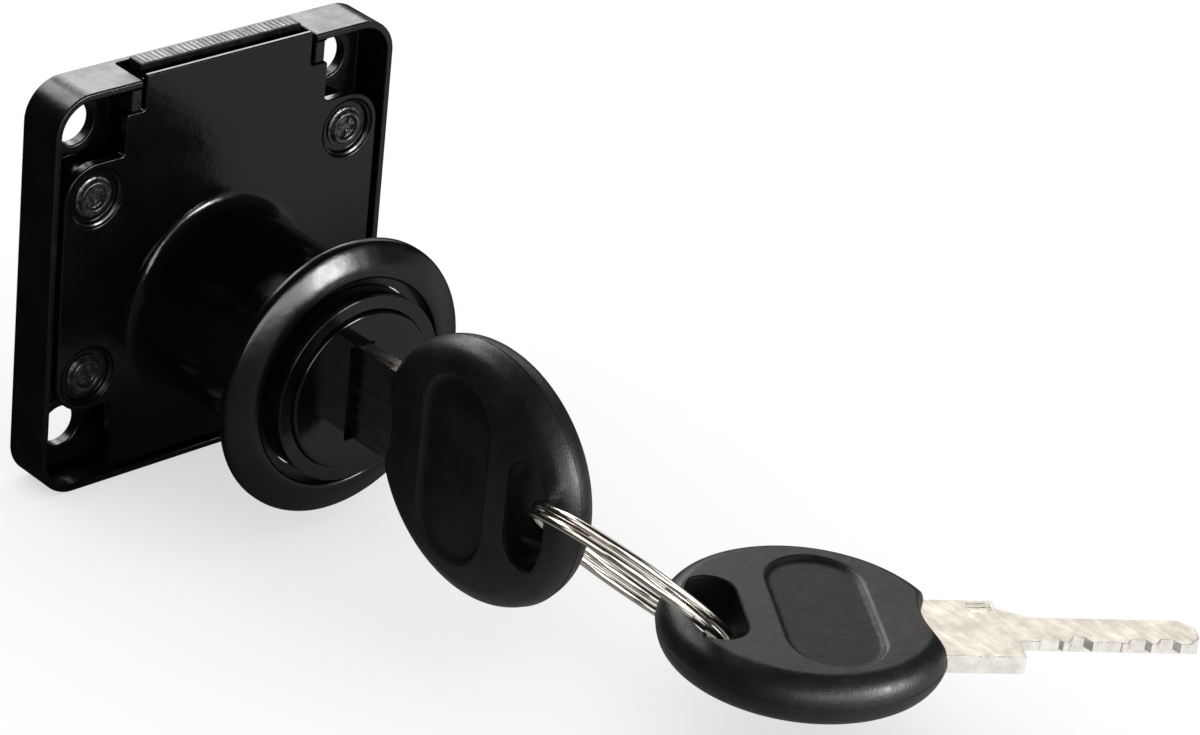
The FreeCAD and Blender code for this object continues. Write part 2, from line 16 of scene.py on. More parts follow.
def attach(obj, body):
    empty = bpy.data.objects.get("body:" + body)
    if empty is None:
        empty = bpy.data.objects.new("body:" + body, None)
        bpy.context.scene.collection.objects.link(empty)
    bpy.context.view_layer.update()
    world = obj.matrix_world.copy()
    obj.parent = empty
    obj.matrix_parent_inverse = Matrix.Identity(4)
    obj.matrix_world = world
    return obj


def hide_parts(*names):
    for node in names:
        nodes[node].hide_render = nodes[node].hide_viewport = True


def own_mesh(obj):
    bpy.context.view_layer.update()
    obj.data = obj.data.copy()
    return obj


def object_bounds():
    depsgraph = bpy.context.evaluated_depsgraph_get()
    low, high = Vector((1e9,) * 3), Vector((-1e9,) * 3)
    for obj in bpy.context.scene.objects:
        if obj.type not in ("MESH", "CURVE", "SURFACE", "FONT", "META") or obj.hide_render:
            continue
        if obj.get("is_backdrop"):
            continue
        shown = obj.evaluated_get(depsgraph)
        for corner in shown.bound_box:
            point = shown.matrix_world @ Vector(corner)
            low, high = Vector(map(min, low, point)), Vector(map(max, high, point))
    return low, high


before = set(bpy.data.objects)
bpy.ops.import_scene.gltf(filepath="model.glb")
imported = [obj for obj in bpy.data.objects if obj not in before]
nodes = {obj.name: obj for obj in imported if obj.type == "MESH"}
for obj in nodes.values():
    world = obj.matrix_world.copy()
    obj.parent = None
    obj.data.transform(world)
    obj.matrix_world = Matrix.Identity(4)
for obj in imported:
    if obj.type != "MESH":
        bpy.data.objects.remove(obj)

MM = 0.001
cad_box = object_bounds()
print("packed nodes:", len(nodes), " box in mm:", [round(v / MM, 1) for v in (*cad_box[0], *cad_box[1])])

# %% [markdown]
# ## The sizes that the pieces share
# These are the values that the solids were made from. A fit, such as the gap round the plug, belongs to two
# pieces, so both read it from here. The barrel's axis runs along Y, 4.15 mm below the middle of the case.

# %% Shared sizes
AXIS_Z = -4.15
CASE_FRONT = -5.2
TRAY_FLOOR = -0.8
COVER_FRONT = -5.1
COVER_BACK = -4.1
BARREL_FRONT = -27.0
BARREL_R = 9.5
BORE_R = 7.05
FLANGE_R = 8.0
PLUG_FACE = -27.4
PIN_Z = AXIS_Z - 4.0
SCREW_X = 15.0
SCREW_Z = (10.0, -8.8)
MOUNT_X = 15.0
MOUNT_Z = 16.0
KEY_Y = -45.1
BITES = ((22.35, 0.45), (25.1, 0.9), (27.85, 0.15), (30.6, 0.65), (33.35, 0.8))
print("the barrel stands", COVER_FRONT - BARREL_FRONT, "mm out of the cover")

# %% [markdown]
# ## Colours, nodes and objects
# Colours are easier to judge as the hex values of a screen, but light adds up in linear numbers, so one function
# turns them. Nodes are added by one small function too: a plain value fills a socket, and a socket makes a link.

# %% Helpers for every step
def linear(colour):
    """A screen colour such as #1c1c1e as linear red, green, blue and alpha."""
    parts = [int(colour[i:i + 2], 16) / 255 for i in (1, 3, 5)]
    return [p / 12.92 if p <= 0.04045 else ((p + 0.055) / 1.055) ** 2.4 for p in parts] + [1.0]


def add(tree, kind, inputs=None, out=0, **settings):
    """Adds a node with its settings, fills or links its inputs by name or number, and returns one output."""
    node = tree.nodes.new(kind)
    for name, value in settings.items():
        setattr(node, name, value)
    for name, value in (inputs or {}).items():
        if isinstance(value, bpy.types.NodeSocket):
            tree.links.new(value, node.inputs[name])
        else:
            node.inputs[name].default_value = value
    return node.outputs[out] if node.outputs else None


def maths(tree, operation, *values):
    """The result of one Math node."""
    return add(tree, "ShaderNodeMath", dict(enumerate(values)), operation=operation)


def spread(tree, value, span, low=0.0, high=1.0, **settings):
    """A value with the ends of a span mapped to low and high."""
    return add(tree, "ShaderNodeMapRange", {
        "Value": value, "From Min": span[0], "From Max": span[1], "To Min": low, "To Max": high}, **settings)


def new_object(name, data):
    made = bpy.data.objects.new(name, data)
    bpy.context.scene.collection.objects.link(made)
    return made


def set_down(place, axes):
    """The matrix that puts something at a place in mm, with its X, Y and Z along three axes."""
    return Matrix.Translation(place * MM) @ Matrix(axes).transposed().to_4x4()


print("satin black is", [round(v, 4) for v in linear("#151516")])

# %% [markdown]
# ## What every finish has in common
# Paint, plating and moulded plastic all vary a little over the surface: the colour drifts, the gloss is uneven
# and there is a fine relief. Each is a noise with its grain given in real millimetres.

# %% A finish with drifting colour, uneven gloss and fine relief
TONE_SPAN = (0.35, 0.65)
HAZE_SPAN = (0.3, 0.7)


def noise(tree, place, grain_mm, detail):
    return add(tree, "ShaderNodeTexNoise", {"Vector": place, "Scale": 1 / (grain_mm * MM), "Detail": detail})


def finish(name, dark, light, metallic, gloss, grains, relief, specular=0.5, stretch=(1.0, 1.0, 1.0)):
    """A material between two colours and roughnesses, with the grain of its drift, gloss and relief in mm."""
    drift_mm, gloss_mm, relief_mm = grains
    material = bpy.data.materials.new(name)
    material.use_nodes = True
    tree = material.node_tree
    shader = tree.nodes["Principled BSDF"]
    shader.inputs["Metallic"].default_value = metallic
    shader.inputs["Specular IOR Level"].default_value = specular
    place = add(tree, "ShaderNodeTexCoord", out="Object")
    grain = add(tree, "ShaderNodeMapping", {"Vector": place, "Scale": stretch})
    tone = spread(tree, noise(tree, place, drift_mm, 3.0), TONE_SPAN)
    colour = add(tree, "ShaderNodeMix", {0: tone, 6: linear(dark), 7: linear(light)}, out=2, data_type="RGBA")
    rough = spread(tree, noise(tree, grain, gloss_mm, 4.0), HAZE_SPAN, *gloss)
    skin = noise(tree, grain, relief_mm, 2.0)
    bump = add(tree, "ShaderNodeBump", {"Height": skin, "Strength": relief, "Distance": relief_mm * MM})
    for name, result in (("Base Color", colour), ("Roughness", rough), ("Normal", bump)):
        tree.links.new(result, shader.inputs[name])
    return material


# %% [markdown]
# ## The finishes of this lock
# Each one starts from what the real surface is. The zinc castings wear a black stoving enamel, which levels out
# before it sets: it is glossy, with a faint orange peel about 0.8 mm across. The bolt's bar is oxidised black,
# and is painted darker still as painted shade, where its front shows in the narrow gap behind the cover's tab;
# its ribbed end is lighter, where the cutter bared the steel. The key heads come from a spark-eroded mould,
# which leaves an even grain; it is really about 0.1 mm and is drawn at 0.25 mm so that it shows. Their panels and
# long holes mirror less than the faces, and the long holes are painted near black as painted shade inside them.
# The blades and the ring are nickel plated, a warm grey.

# %% Make the finishes
ALONG_X = (1.0, 0.2, 0.2)
ALONG_Y = (1.0, 0.25, 1.0)
case_enamel = finish("Stoving_enamel_on_zinc_case", "#050505", "#0a0a0a", 0, (0.24, 0.34), (7, 2, 0.8), 0.03)
cover_enamel = finish("Stoving_enamel_on_zinc_cover", "#040404", "#080808", 0, (0.14, 0.22), (9, 3, 0.8), 0.025)
trim_enamel = finish("Gloss_enamel_on_steel_trim", "#040404", "#070707", 0, (0.18, 0.27), (8, 2.5, 0.9), 0.02)
plug_enamel = finish("Black_enamel_on_brass_plug", "#040404", "#080808", 0, (0.08, 0.14), (5, 1.5, 0.6), 0.012)
screw_oxide = finish("Black_zinc_on_steel_screws", "#39393b", "#77777a", 0.9, (0.16, 0.34), (0.8, 0.4, 0.3), 0.1)
# The bar is oxide black painted darker still, as painted shade in the gap behind the cover's tab where its front
# shows.
bar_oxide_and_painted_shade = finish("Black_oxide_on_steel_bar", "#0c0c0d", "#1c1c1e", 0.6, (0.3, 0.42), (1.5, 0.8, 0.3), 0.08,
                   stretch=ALONG_X)
bolt_steel = finish("Blackened_steel_bolt", "#545456", "#717174", 0.85, (0.3, 0.45), (1.2, 0.8, 0.3), 0.12,
                    stretch=ALONG_X)
head_plastic = finish("Spark_eroded_ABS_key_head", "#0e0e0f", "#161617", 0, (0.36, 0.48), (4, 0.8, 0.25), 0.1)
panel_plastic = finish("Deep_eroded_ABS_panel", "#0b0b0c", "#131314", 0, (0.4, 0.5), (4, 0.8, 0.3), 0.12,
                       specular=0.3)
# The hole's walls are painted near black, as painted shade inside the long hole.
hole_painted_shade = finish("As_moulded_ABS_hole", "#050506", "#09090a", 0, (0.5, 0.6), (3, 0.8, 0.3), 0.05,
                      specular=0.12)
key_nickel = finish("Tumbled_nickel_plate_key", "#d6d2cb", "#ebe8e2", 1, (0.2, 0.36), (1.4, 0.7, 0.3), 0.05,
                    stretch=ALONG_Y)
ring_nickel = finish("Bright_nickel_plate_wire", "#dfd8ce", "#efe9df", 1, (0.12, 0.2), (1.5, 0.8, 0.4), 0.02)
wafer_brass = finish("Stamped_brass_wafer", "#b08d46", "#c9a75c", 1, (0.25, 0.4), (1, 0.5, 0.3), 0.06)
spring_steel = finish("Drawn_spring_steel", "#8f8f90", "#a9a9aa", 1, (0.2, 0.3), (0.6, 0.3, 0.2), 0.04)
print("finishes:", len(bpy.data.materials))

# %% [markdown]
# ## The camera
# The camera stands in front and to the left of the lock, above it, with a long lens, which is why the case and
# the keys keep nearly parallel edges. Its place and turn line up the solids' corners with the picture.

# %% Set up the camera
CAMERA_PLACE = Vector((-248.343, -308.457, 200.26))
CAMERA_RIGHT = Vector((0.741812, -0.663481, 0.097508))
CAMERA_UP = Vector((0.250621, 0.409152, 0.877373))
CAMERA_LOOK = Vector((0.622016, 0.626408, -0.469797))
FOCAL_PIXELS = 4575.4
PICTURE_WIDTH = 1200
SENSOR_MM = 36

camera_data = bpy.data.cameras.new("Camera")
camera_data.lens = FOCAL_PIXELS / PICTURE_WIDTH * SENSOR_MM
camera_data.sensor_width = SENSOR_MM
camera_data.clip_start = 0.01
camera_data.clip_end = 20
camera = new_object("Camera", camera_data)
camera.matrix_world = set_down(CAMERA_PLACE, (CAMERA_RIGHT, CAMERA_UP, -CAMERA_LOOK))
bpy.context.scene.camera = camera
print("lens %.1f mm, %.0f mm from the lock" % (camera_data.lens, camera.location.length / MM))

# %% [markdown]
# ## Floor and light
# Gloss black shows little but what it mirrors, so the light is planned by where each surface looks. The top of
# the case and the blades look up and backwards, to soft boxes behind. The dome of the trim ring and the fillet
# at the foot of the barrel look up and forwards, to a box in front. The faces of the plate and of the plug look
# down at the floor, and the sides look to the left. The floor's reflection is painted: in reflections alone the
# floor glows a grey, a painted reflection that fades to black on the left, where a photographer would put black
# card, and fades as painted shade under the case. The paper itself is lit by the even sky and by a sun without
# shadows, so the lock's own shadow on it stays soft and pale.

# %% Lay the floor
FLOOR_REACH = 6.0
# The strength of the floor's painted reflection, across from the left and forwards from under the case.
PAINTED_REFLECTION_ACROSS = (0.12, 0.42)
PAINTED_REFLECTION_FORWARDS = (0.08, 1.0)

level = cad_box[0].z
corners = [(x * FLOOR_REACH, y * FLOOR_REACH, level) for x, y in ((-1, -1), (1, -1), (1, 1), (-1, 1))]
floor_mesh = bpy.data.meshes.new("Floor")
floor_mesh.from_pydata(corners, [], [(0, 1, 2, 3)])
floor = new_object("Floor", floor_mesh)
floor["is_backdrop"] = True
paper = bpy.data.materials.new("Pale_paper_floor")
paper.use_nodes = True
tree = paper.node_tree
shader = tree.nodes["Principled BSDF"]
shader.inputs["Base Color"].default_value = linear("#f6f6f6")
shader.inputs["Roughness"].default_value = 0.9
shader.inputs["Specular IOR Level"].default_value = 0.1
place = add(tree, "ShaderNodeTexCoord", out="Object")
x_here, y_here = [add(tree, "ShaderNodeSeparateXYZ", {0: place}, out=axis) for axis in "XY"]
# Painted reflection: in glossy rays alone the floor glows a grey that fades towards the left, and near the lock it
# is painted darker as the lock's shade.
sideways = spread(tree, x_here, (-30 * MM, 26 * MM), *PAINTED_REFLECTION_ACROSS)
forwards = spread(tree, y_here, (-16 * MM, -44 * MM), *PAINTED_REFLECTION_FORWARDS)
painted_reflection_strength = maths(tree, "MULTIPLY", sideways, forwards)
painted_reflection = add(tree, "ShaderNodeEmission", {"Color": linear("#ffffff"), "Strength": painted_reflection_strength})
glossy = add(tree, "ShaderNodeLightPath", out="Is Glossy Ray")
either = add(tree, "ShaderNodeMixShader", {0: glossy, 1: shader.outputs[0], 2: painted_reflection})
tree.links.new(either, tree.nodes["Material Output"].inputs["Surface"])
floor_mesh.materials.append(paper)
print("floor at", round(level / MM, 2), "mm")

# %% Light the sky
SKY_LIGHT, SKY_IN_GLOSS = 0.5, 0.02

world = bpy.data.worlds.new("Studio")
bpy.context.scene.world = world
world.use_nodes = True
sky = world.node_tree
sky.nodes.clear()
glossy = add(sky, "ShaderNodeLightPath", out="Is Glossy Ray")
pale, dim = [add(sky, "ShaderNodeBackground", {"Color": linear("#ffffff"), "Strength": strength})
             for strength in (SKY_LIGHT, SKY_IN_GLOSS)]
add(sky, "ShaderNodeOutputWorld", {"Surface": add(sky, "ShaderNodeMixShader", {0: glossy, 1: pale, 2: dim})})
bpy.context.scene.view_settings.view_transform = "Standard"
print("sky light", SKY_LIGHT, "and in reflections", SKY_IN_GLOSS)

# %% [markdown]
# The box in front hangs in one place twice. The second lights the trim ring and the plug alone and may bounce
# off them, and the first lights the other pieces straight on. Bright metal needs bright surroundings, so four
# cards light the split ring and the spare blade. What each lamp lights is chosen when all pieces are made.

# %% Hang the soft boxes
LOCK_AIM = (0, -25, 4)
RING_AIM = (2, -63, -7)


def soft_box(name, place, size, radiance, aim, tint="#ffffff"):
    """An area light at a place in mm, turned towards a point, that isn't seen itself."""
    data = bpy.data.lights.new(name, "AREA")
    data.shape = "RECTANGLE"
    data.size, data.size_y = size[0] * MM, size[1] * MM
    data.energy = radiance * math.pi * data.size * data.size_y
    data.color = linear(tint)[:3]
    lamp = new_object(name, data)
    lamp.location = Vector(place) * MM
    lamp.rotation_euler = (Vector(place) - Vector(aim)).to_track_quat("Z", "Y").to_euler()
    lamp.visible_camera = False
    return lamp


behind = [soft_box("Box_behind_the_case", (128, 266, 160), (230, 130), 5.8, (0, -5, 18)),
          soft_box("Box_behind_the_keys", (228, 88, 137), (150, 130), 1.35, (25, -80, -8), tint="#fffaf2"),
          soft_box("Box_behind_on_the_left", (-34, 190, 200), (130, 110), 5.5, (0, -40, 5))]
in_front = ((123, -302, 68), (76, 87), 32.0, LOCK_AIM)
box_in_front = soft_box("Box_in_front", *in_front)
strip_in_front = soft_box("Strip_in_front", (-54, -333, 70), (290, 80), 6.0, LOCK_AIM)
box_for_the_trim = soft_box("Box_in_front_for_the_trim", *in_front)
for lamp in (box_in_front, strip_in_front):
    lamp.data.cycles.max_bounces = 0
cards = [soft_box("Card_by_the_camera", (-132, -229, 142), (260, 260), 1.7, RING_AIM),
         soft_box("Card_on_the_right", (206, -181, 103), (240, 240), 1.5, RING_AIM),
         soft_box("Card_on_the_left", (-210, 14, 123), (240, 240), 1.2, RING_AIM),
         soft_box("Card_on_the_paper", (27, -108, -20.5), (70, 34), 0.7, (27, -107.9, 40))]
sun_data = bpy.data.lights.new("Sun_on_the_paper", "SUN")
sun_data.energy = 1.95
sun_data.use_shadow = False
sun = new_object("Sun_on_the_paper", sun_data)

# %% [markdown]
# ## Ways to make a shape
# Most of the lock is plates with round corners and turned parts. Both start as a flat outline: a plate pushes it
# along an axis, and a turned part spins it round an axis along Y. One function rounds an outline's corners,
# since no cast or stamped corner is sharp.

# %% Outlines, plates and turned parts
ON_AXIS = 1e-6


def rounded(points, step_degrees=9.0):
    """A closed outline from (a, b, corner radius) points, with an arc in place of each corner."""
    result = []
    for i, (a, b, radius) in enumerate(points):
        here = Vector((a, b))
        before = (Vector(points[i - 1][:2]) - here).normalized()
        after = (Vector(points[(i + 1) % len(points)][:2]) - here).normalized()
        angle = before.angle(after)
        if radius <= 0 or angle > math.radians(178):
            result.append(here)
            continue
        reach = radius / math.tan(angle / 2)
        centre = here + (before + after).normalized() * radius / math.sin(angle / 2)
        start = here + before * reach - centre
        end = here + after * reach - centre
        count = max(2, math.ceil(math.degrees(math.pi - angle) / step_degrees))
        sweep = start.angle_signed(end)
        for k in range(count + 1):
            part = -sweep * k / count
            turned = Vector((start.x * math.cos(part) - start.y * math.sin(part),
                             start.x * math.sin(part) + start.y * math.cos(part)))
            result.append(centre + turned)
    return result


def as_object(name, shape):
    """A new object from a bmesh whose sizes are in millimetres, with its faces pointing outwards."""
    bmesh.ops.remove_doubles(shape, verts=shape.verts, dist=1e-4)
    bmesh.ops.recalc_face_normals(shape, faces=shape.faces)
    bmesh.ops.scale(shape, vec=(MM, MM, MM), verts=shape.verts)
    mesh = bpy.data.meshes.new(name)
    shape.to_mesh(mesh)
    shape.free()
    return new_object(name, mesh)


def pairs(ring):
    """Each item of a closed ring with the one after it."""
    return list(zip(ring, [*ring[1:], ring[0]]))


def skin(shape, rings):
    """Quads between rings with the same number of points."""
    for one, two in zip(rings, rings[1:]):
        for (a, b), (c, d) in zip(pairs(one), pairs(two)):
            shape.faces.new((a, b, d, c))


def prism(name, near, far):
    """A solid between two outlines with the same number of points."""
    shape = bmesh.new()
    front = [shape.verts.new(p) for p in near]
    back = [shape.verts.new(p) for p in far]
    shape.faces.new(front)
    shape.faces.new(back[::-1])
    for (a, b), (c, d) in zip(pairs(front), pairs(back)):
        shape.faces.new((a, c, d, b))
    return as_object(name, shape)


def plate(name, outline, y_from, y_to):
    """An outline in X and Z, pushed along Y."""
    return prism(name, *([(a, y, b) for a, b in outline] for y in (y_from, y_to)))


def slab(name, outline, x_from, x_to):
    """An outline in Y and Z, pushed along X."""
    return prism(name, *([(x, a, b) for a, b in outline] for x in (x_from, x_to)))


def box(name, xs, ys, zs):
    return plate(name, [(xs[0], zs[0]), (xs[1], zs[0]), (xs[1], zs[1]), (xs[0], zs[1])], *ys)


def turned_part(name, outline, steps, x=0.0, z=AXIS_Z, start=0.0, sweep=360.0):
    """A closed (radius, y) outline, turned round an axis along Y."""
    shape = bmesh.new()
    rings = []
    count = steps if sweep == 360.0 else steps + 1
    for k in range(count):
        angle = math.radians(start + sweep * k / steps)
        east, north = math.cos(angle), math.sin(angle)
        rings.append([shape.verts.new((x + r * east, y, z + r * north)) for r, y in outline])
    for k in range(steps):
        here, there = rings[k], rings[(k + 1) % count]
        for i in range(len(outline)):
            j = (i + 1) % len(outline)
            off_axis = [there[n] for n in (j, i) if outline[n][0] >= ON_AXIS]
            if off_axis:
                shape.faces.new([here[i], here[j], *off_axis])
    if sweep != 360.0:
        shape.faces.new(rings[0])
        shape.faces.new(rings[-1])
    return as_object(name, shape)


def rod(name, radius, y_from, y_to, x, z, steps):
    return turned_part(name, [(0, y_from), (radius, y_from), (radius, y_to), (0, y_to)], steps, x, z)


print("shapes: plate, slab, box, turned part, rod")

# %% [markdown]
# ## Booleans, broken edges and shading
# Pieces are joined and cut with exact booleans, then their edges are broken with a narrow bevel: that thin bright
# line along each edge is what makes a black object readable. The flats that are left have many corners, so they
# are cut into triangles that keep to their outline. Last, each corner's normal follows the largest face at it,
# so that a flat stays flat right up to its bevel. That fails on faces of a few square micrometres, so it is done
# 1024 times larger, a power of two that rounds no coordinate.

# %% Join, cut, break edges, shade and dress
WELD_M = 2e-6
FLAT_DEGREES = 0.4
BEVEL_DEGREES = 28.0
TRIANGLES_INSIDE, SAME_POINT = 1, 1e-5
WEIGHING_SCALE = 1024


def settle(piece):
    """Turns a piece and its modifiers into one plain mesh."""
    bpy.context.view_layer.update()
    evaluated = piece.evaluated_get(bpy.context.evaluated_depsgraph_get())
    mesh = bpy.data.meshes.new_from_object(evaluated)
    piece.modifiers.clear()
    piece.data = mesh
    mesh.name = piece.name
    return piece


def combine(piece, tools, operation):
    """Joins the tools to a piece or cuts them out of it, and removes them."""
    for tool in tools:
        step = piece.modifiers.new("Combine", "BOOLEAN")
        step.operation = operation
        step.solver = "EXACT"
        step.object = tool
    settle(piece)
    for tool in tools:
        bpy.data.objects.remove(tool)
    return piece


def join(piece, *tools):
    return combine(piece, tools, "UNION")


def cut(piece, *tools):
    return combine(piece, tools, "DIFFERENCE")


def reshape(piece, change):
    """Runs one change on a piece's mesh while it is open as a bmesh."""
    shape = bmesh.new()
    shape.from_mesh(piece.data)
    change(shape)
    shape.to_mesh(piece.data)
    shape.free()
    return piece


def turn_outwards(shape):
    """Joins points that are in one place and turns every face outwards."""
    bmesh.ops.remove_doubles(shape, verts=shape.verts, dist=1e-6)
    bmesh.ops.recalc_face_normals(shape, faces=shape.faces)


def weld_flats(shape):
    """Makes one face of each flat that the booleans cut up."""
    bmesh.ops.remove_doubles(shape, verts=shape.verts, dist=WELD_M)
    bmesh.ops.dissolve_limit(shape, angle_limit=math.radians(FLAT_DEGREES), verts=shape.verts, edges=shape.edges)


def fill_flats(shape):
    """Cuts each many-sided face into triangles that keep to its outline, also where a narrow bevel folds it."""
    for face in [f for f in shape.faces if len(f.verts) > 4]:
        face.normal_update()
        flat_turn = face.normal.to_track_quat("Z", "Y").to_matrix()
        corners = list(face.verts)
        level = [flat_turn.transposed() @ v.co / MM for v in corners]
        points, _, triangles, origins, _, _ = geometry.delaunay_2d_cdt(
            [p.xy for p in level], [], [list(range(len(level)))], TRIANGLES_INSIDE, SAME_POINT)
        height = sum(p.z for p in level) / len(level)
        used = [corners[origin[0]] if origin else shape.verts.new(flat_turn @ Vector((*point, height)) * MM)
                for point, origin in zip(points, origins)]
        for triangle in triangles:
            edge_points = [used[i] for i in triangle]
            if not shape.faces.get(edge_points):
                shape.faces.new(edge_points, face)
        bmesh.ops.delete(shape, geom=[face], context="FACES_ONLY")


def smooth(piece, crease=35.0):
    """Shades curves smooth and flats flat, with a sharp line where a piece folds by more than the crease."""
    piece.data.polygons.foreach_set("use_smooth", [True] * len(piece.data.polygons))
    piece.data.set_sharp_from_angle(angle=math.radians(crease))
    weigh = piece.modifiers.new("Normals", "WEIGHTED_NORMAL")
    weigh.keep_sharp = True
    weigh.weight = 50
    weigh.use_face_influence = True
    piece.data.transform(Matrix.Scale(WEIGHING_SCALE, 4))
    settle(piece)
    piece.data.transform(Matrix.Scale(1 / WEIGHING_SCALE, 4))
    return piece


def break_edges(piece, width, segments=3):
    """Rounds a piece's sharp edges and shades it."""
    reshape(piece, weld_flats)
    edge = piece.modifiers.new("Edge", "BEVEL")
    edge.width = width * MM
    edge.segments = segments
    edge.limit_method = "ANGLE"
    edge.angle_limit = math.radians(BEVEL_DEGREES)
    edge.use_clamp_overlap = False
    edge.miter_outer = "MITER_ARC"
    edge.face_strength_mode = "FSTR_ALL"
    return smooth(reshape(settle(piece), fill_flats))


def dress(piece, material, body, *stands_for, slot):
    """Gives a finished piece its material and its body, and hides the solids that it stands for."""
    if material:
        piece.data.materials.clear()
        piece.data.materials.append(material)
    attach(piece, body)
    if stands_for:
        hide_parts(*stands_for)
    print("%-22s %6d faces" % (piece.name, len(piece.data.polygons)))
    return piece


# %% [markdown]
# ## The case
# The case is a zinc casting in the form of a shallow tray with thin walls. Its outer corners are round, a notch
# in its top wall lets the bolt out, and each corner of the floor has a hole for a wood screw, with a low collar
# round it. Collar and hole have the same number of steps, so their facets line up.

# %% Cast the case
CASE_HALF_W, CASE_HALF_H, CASE_CORNER_R = 20.0, 21.0, 3.9
WALL, HOLLOW_CORNER_R = 0.75, 3.2
INTO_FLOOR = TRAY_FLOOR + 0.1
POST_R, PILOT_R = 2.6, 1.02
COLLAR_R, COLLAR_FRONT, MOUNT_HOLE_R, MOUNT_STEPS = 3.1, -1.3, 2.1, 56
STRIPS = {"lip": ((10.25, 11.45), COVER_FRONT, (17.9, 20.6)),
          "guide": ((9.6, 10.8), COVER_BACK, (-14.35, 17.8)),
          "rail": ((5.25, 6.75), -1.64, (-14.35, 18.4))}


def rectangle(half_width, half_height, radius):
    w, h = half_width, half_height
    return rounded([(-w, -h, radius), (w, -h, radius), (w, h, radius), (-w, h, radius)], 5.0)


case = plate("case_shell", rectangle(CASE_HALF_W, CASE_HALF_H, CASE_CORNER_R), CASE_FRONT, 0)
cut(case, plate("hollow", rectangle(CASE_HALF_W - WALL, CASE_HALF_H - WALL, HOLLOW_CORNER_R),
                CASE_FRONT - 1, TRAY_FLOOR),
    box("notch", (-10.25, 10.25), (CASE_FRONT - 1, TRAY_FLOOR), (18.2, 23)))
inside = []
holes = []
for side in (1, -1):
    for name, (xs, front, zs) in STRIPS.items():
        inside.append(box(name, sorted(x * side for x in xs), (front, INTO_FLOOR), zs))
    for z in SCREW_Z:
        inside.append(rod("post", POST_R, COVER_BACK, INTO_FLOOR, SCREW_X * side, z, 48))
        holes.append(rod("pilot", PILOT_R, -4.6, -1.1, SCREW_X * side, z, 32))
    for z in (MOUNT_Z, -MOUNT_Z):
        inside.append(rod("collar", COLLAR_R, COLLAR_FRONT, INTO_FLOOR, MOUNT_X * side, z, MOUNT_STEPS))
        holes.append(rod("hole", MOUNT_HOLE_R, -5, 1, MOUNT_X * side, z, MOUNT_STEPS))
join(case, *inside)
for hole in holes:
    cut(case, hole)
break_edges(case, 0.2)
dress(case, case_enamel, "case", "rear_case", slot="case_black")

# %% [markdown]
# ## The cover and its barrel
# Cover and barrel are one casting: a plate shaped like a plus, which leaves the four corners of the tray open,
# and a barrel that flows out of it through a fillet. The fillet is part of the barrel's turned outline, so its
# long bright arc is smooth. The counterbores for the screws have a shallow step round them, and the tab that
# reaches into the notch has one behind its top.

# %% Cast the cover
FILLET_R, FILLET_STEPS = 1.5, 12
CORE_R = 4.0
HALF_COVER = [(12.1, -19.6, 1.2), (12.1, -12.4, 0.4), (15.0, -12.4, 0), (18.6, -12.4, 3.6), (18.6, 13.6, 3.6),
              (15.0, 13.6, 0), (11.9, 13.6, 0.4), (11.9, 17.8, 0.3), (9.8, 17.8, 0.3), (9.8, 21.4, 0.15)]
MOUTH_R, MOUTH_FLOOR = FLANGE_R + 0.05, -25.2
SEAT_R, SEAT_STEP_R, SHAFT_R = 3.05, 2.65, 1.1

whole_cover = HALF_COVER + [(-x, z, r) for x, z, r in reversed(HALF_COVER)]
cover = plate("cover_and_barrel", rounded(whole_cover), COVER_FRONT, COVER_BACK)
fillet = []
for k in range(FILLET_STEPS + 1):
    a = math.radians(180 - 90 * k / FILLET_STEPS)
    fillet.append((BARREL_R + FILLET_R + FILLET_R * math.cos(a), COVER_FRONT - FILLET_R + FILLET_R * math.sin(a)))
barrel = [(CORE_R, COVER_BACK), (CORE_R, BARREL_FRONT), (BARREL_R, BARREL_FRONT), *fillet,
          (BARREL_R + FILLET_R, COVER_BACK)]
join(cover, turned_part("barrel", barrel, 160))
bore = [(0, -28), (MOUTH_R, -28), (MOUTH_R, MOUTH_FLOOR), (BORE_R, MOUTH_FLOOR), (BORE_R, -7.5), (8.05, -7.5),
        (8.05, -6.1), (BORE_R, -6.1), (BORE_R, -3), (0, -3)]
seat = [(0, -6), (SEAT_R, -6), (SEAT_R, COVER_FRONT + 0.12), (SEAT_STEP_R, COVER_FRONT + 0.3),
        (SEAT_STEP_R, COVER_FRONT + 0.6), (SHAFT_R, COVER_FRONT + 0.6), (SHAFT_R, -3), (0, -3)]
tools = [turned_part("bore", bore, 128),
         box("wafer_groove", (-3.05, 3.05), (-23.75, -10.75), (AXIS_Z - 8.3, AXIS_Z + 8.3)),
         box("tab_step", (-9.9, 9.9), (COVER_FRONT + 0.5, COVER_BACK + 1), (20.8, 22))]
tools += [turned_part("seat", seat, 64, SCREW_X * side, z) for side in (1, -1) for z in SCREW_Z]
cut(cover, *tools)
stop = [(7.3, -26.1), (8.25, -26.1), (8.25, -25.1), (7.3, -25.1)]
join(cover, turned_part("stop", stop, 8, start=-100, sweep=20))
break_edges(cover, 0.14)
dress(cover, cover_enamel, "case", "front_cover", slot="cover_black")

# %% [markdown]
# ## The cover screws
# Four small pan heads sit in the counterbores, and each has stopped at its own angle. One screw is made once, and
# Geometry Nodes set it on the four corners of a rectangle, each turned by a seeded random angle. Realize Instances
# comes last, because the exported model keeps only real meshes.

# %% Make one screw
SCREW_PROFILE = [(0, 0.36, 0), (1.08, 0.36, 0.1), (1.28, 0.03, 0.12), (1.56, 0.02, 0.16), (1.84, 0.38, 0.1),
                 (2.05, 0.44, 0.06), (2.05, 0.6, 0.05), (1.0, 0.6, 0.05), (1.0, 3.4, 0), (0.6, 3.9, 0),
                 (0, 3.9, 0)]
DIMPLE = [(0, -1), (0.62, -1), (0.5, 0.4), (0, 0.58)]
slot_long, slot_wide, slot_deep = (-1.05, 1.05), (-0.26, 0.26), (-1, 0.56)

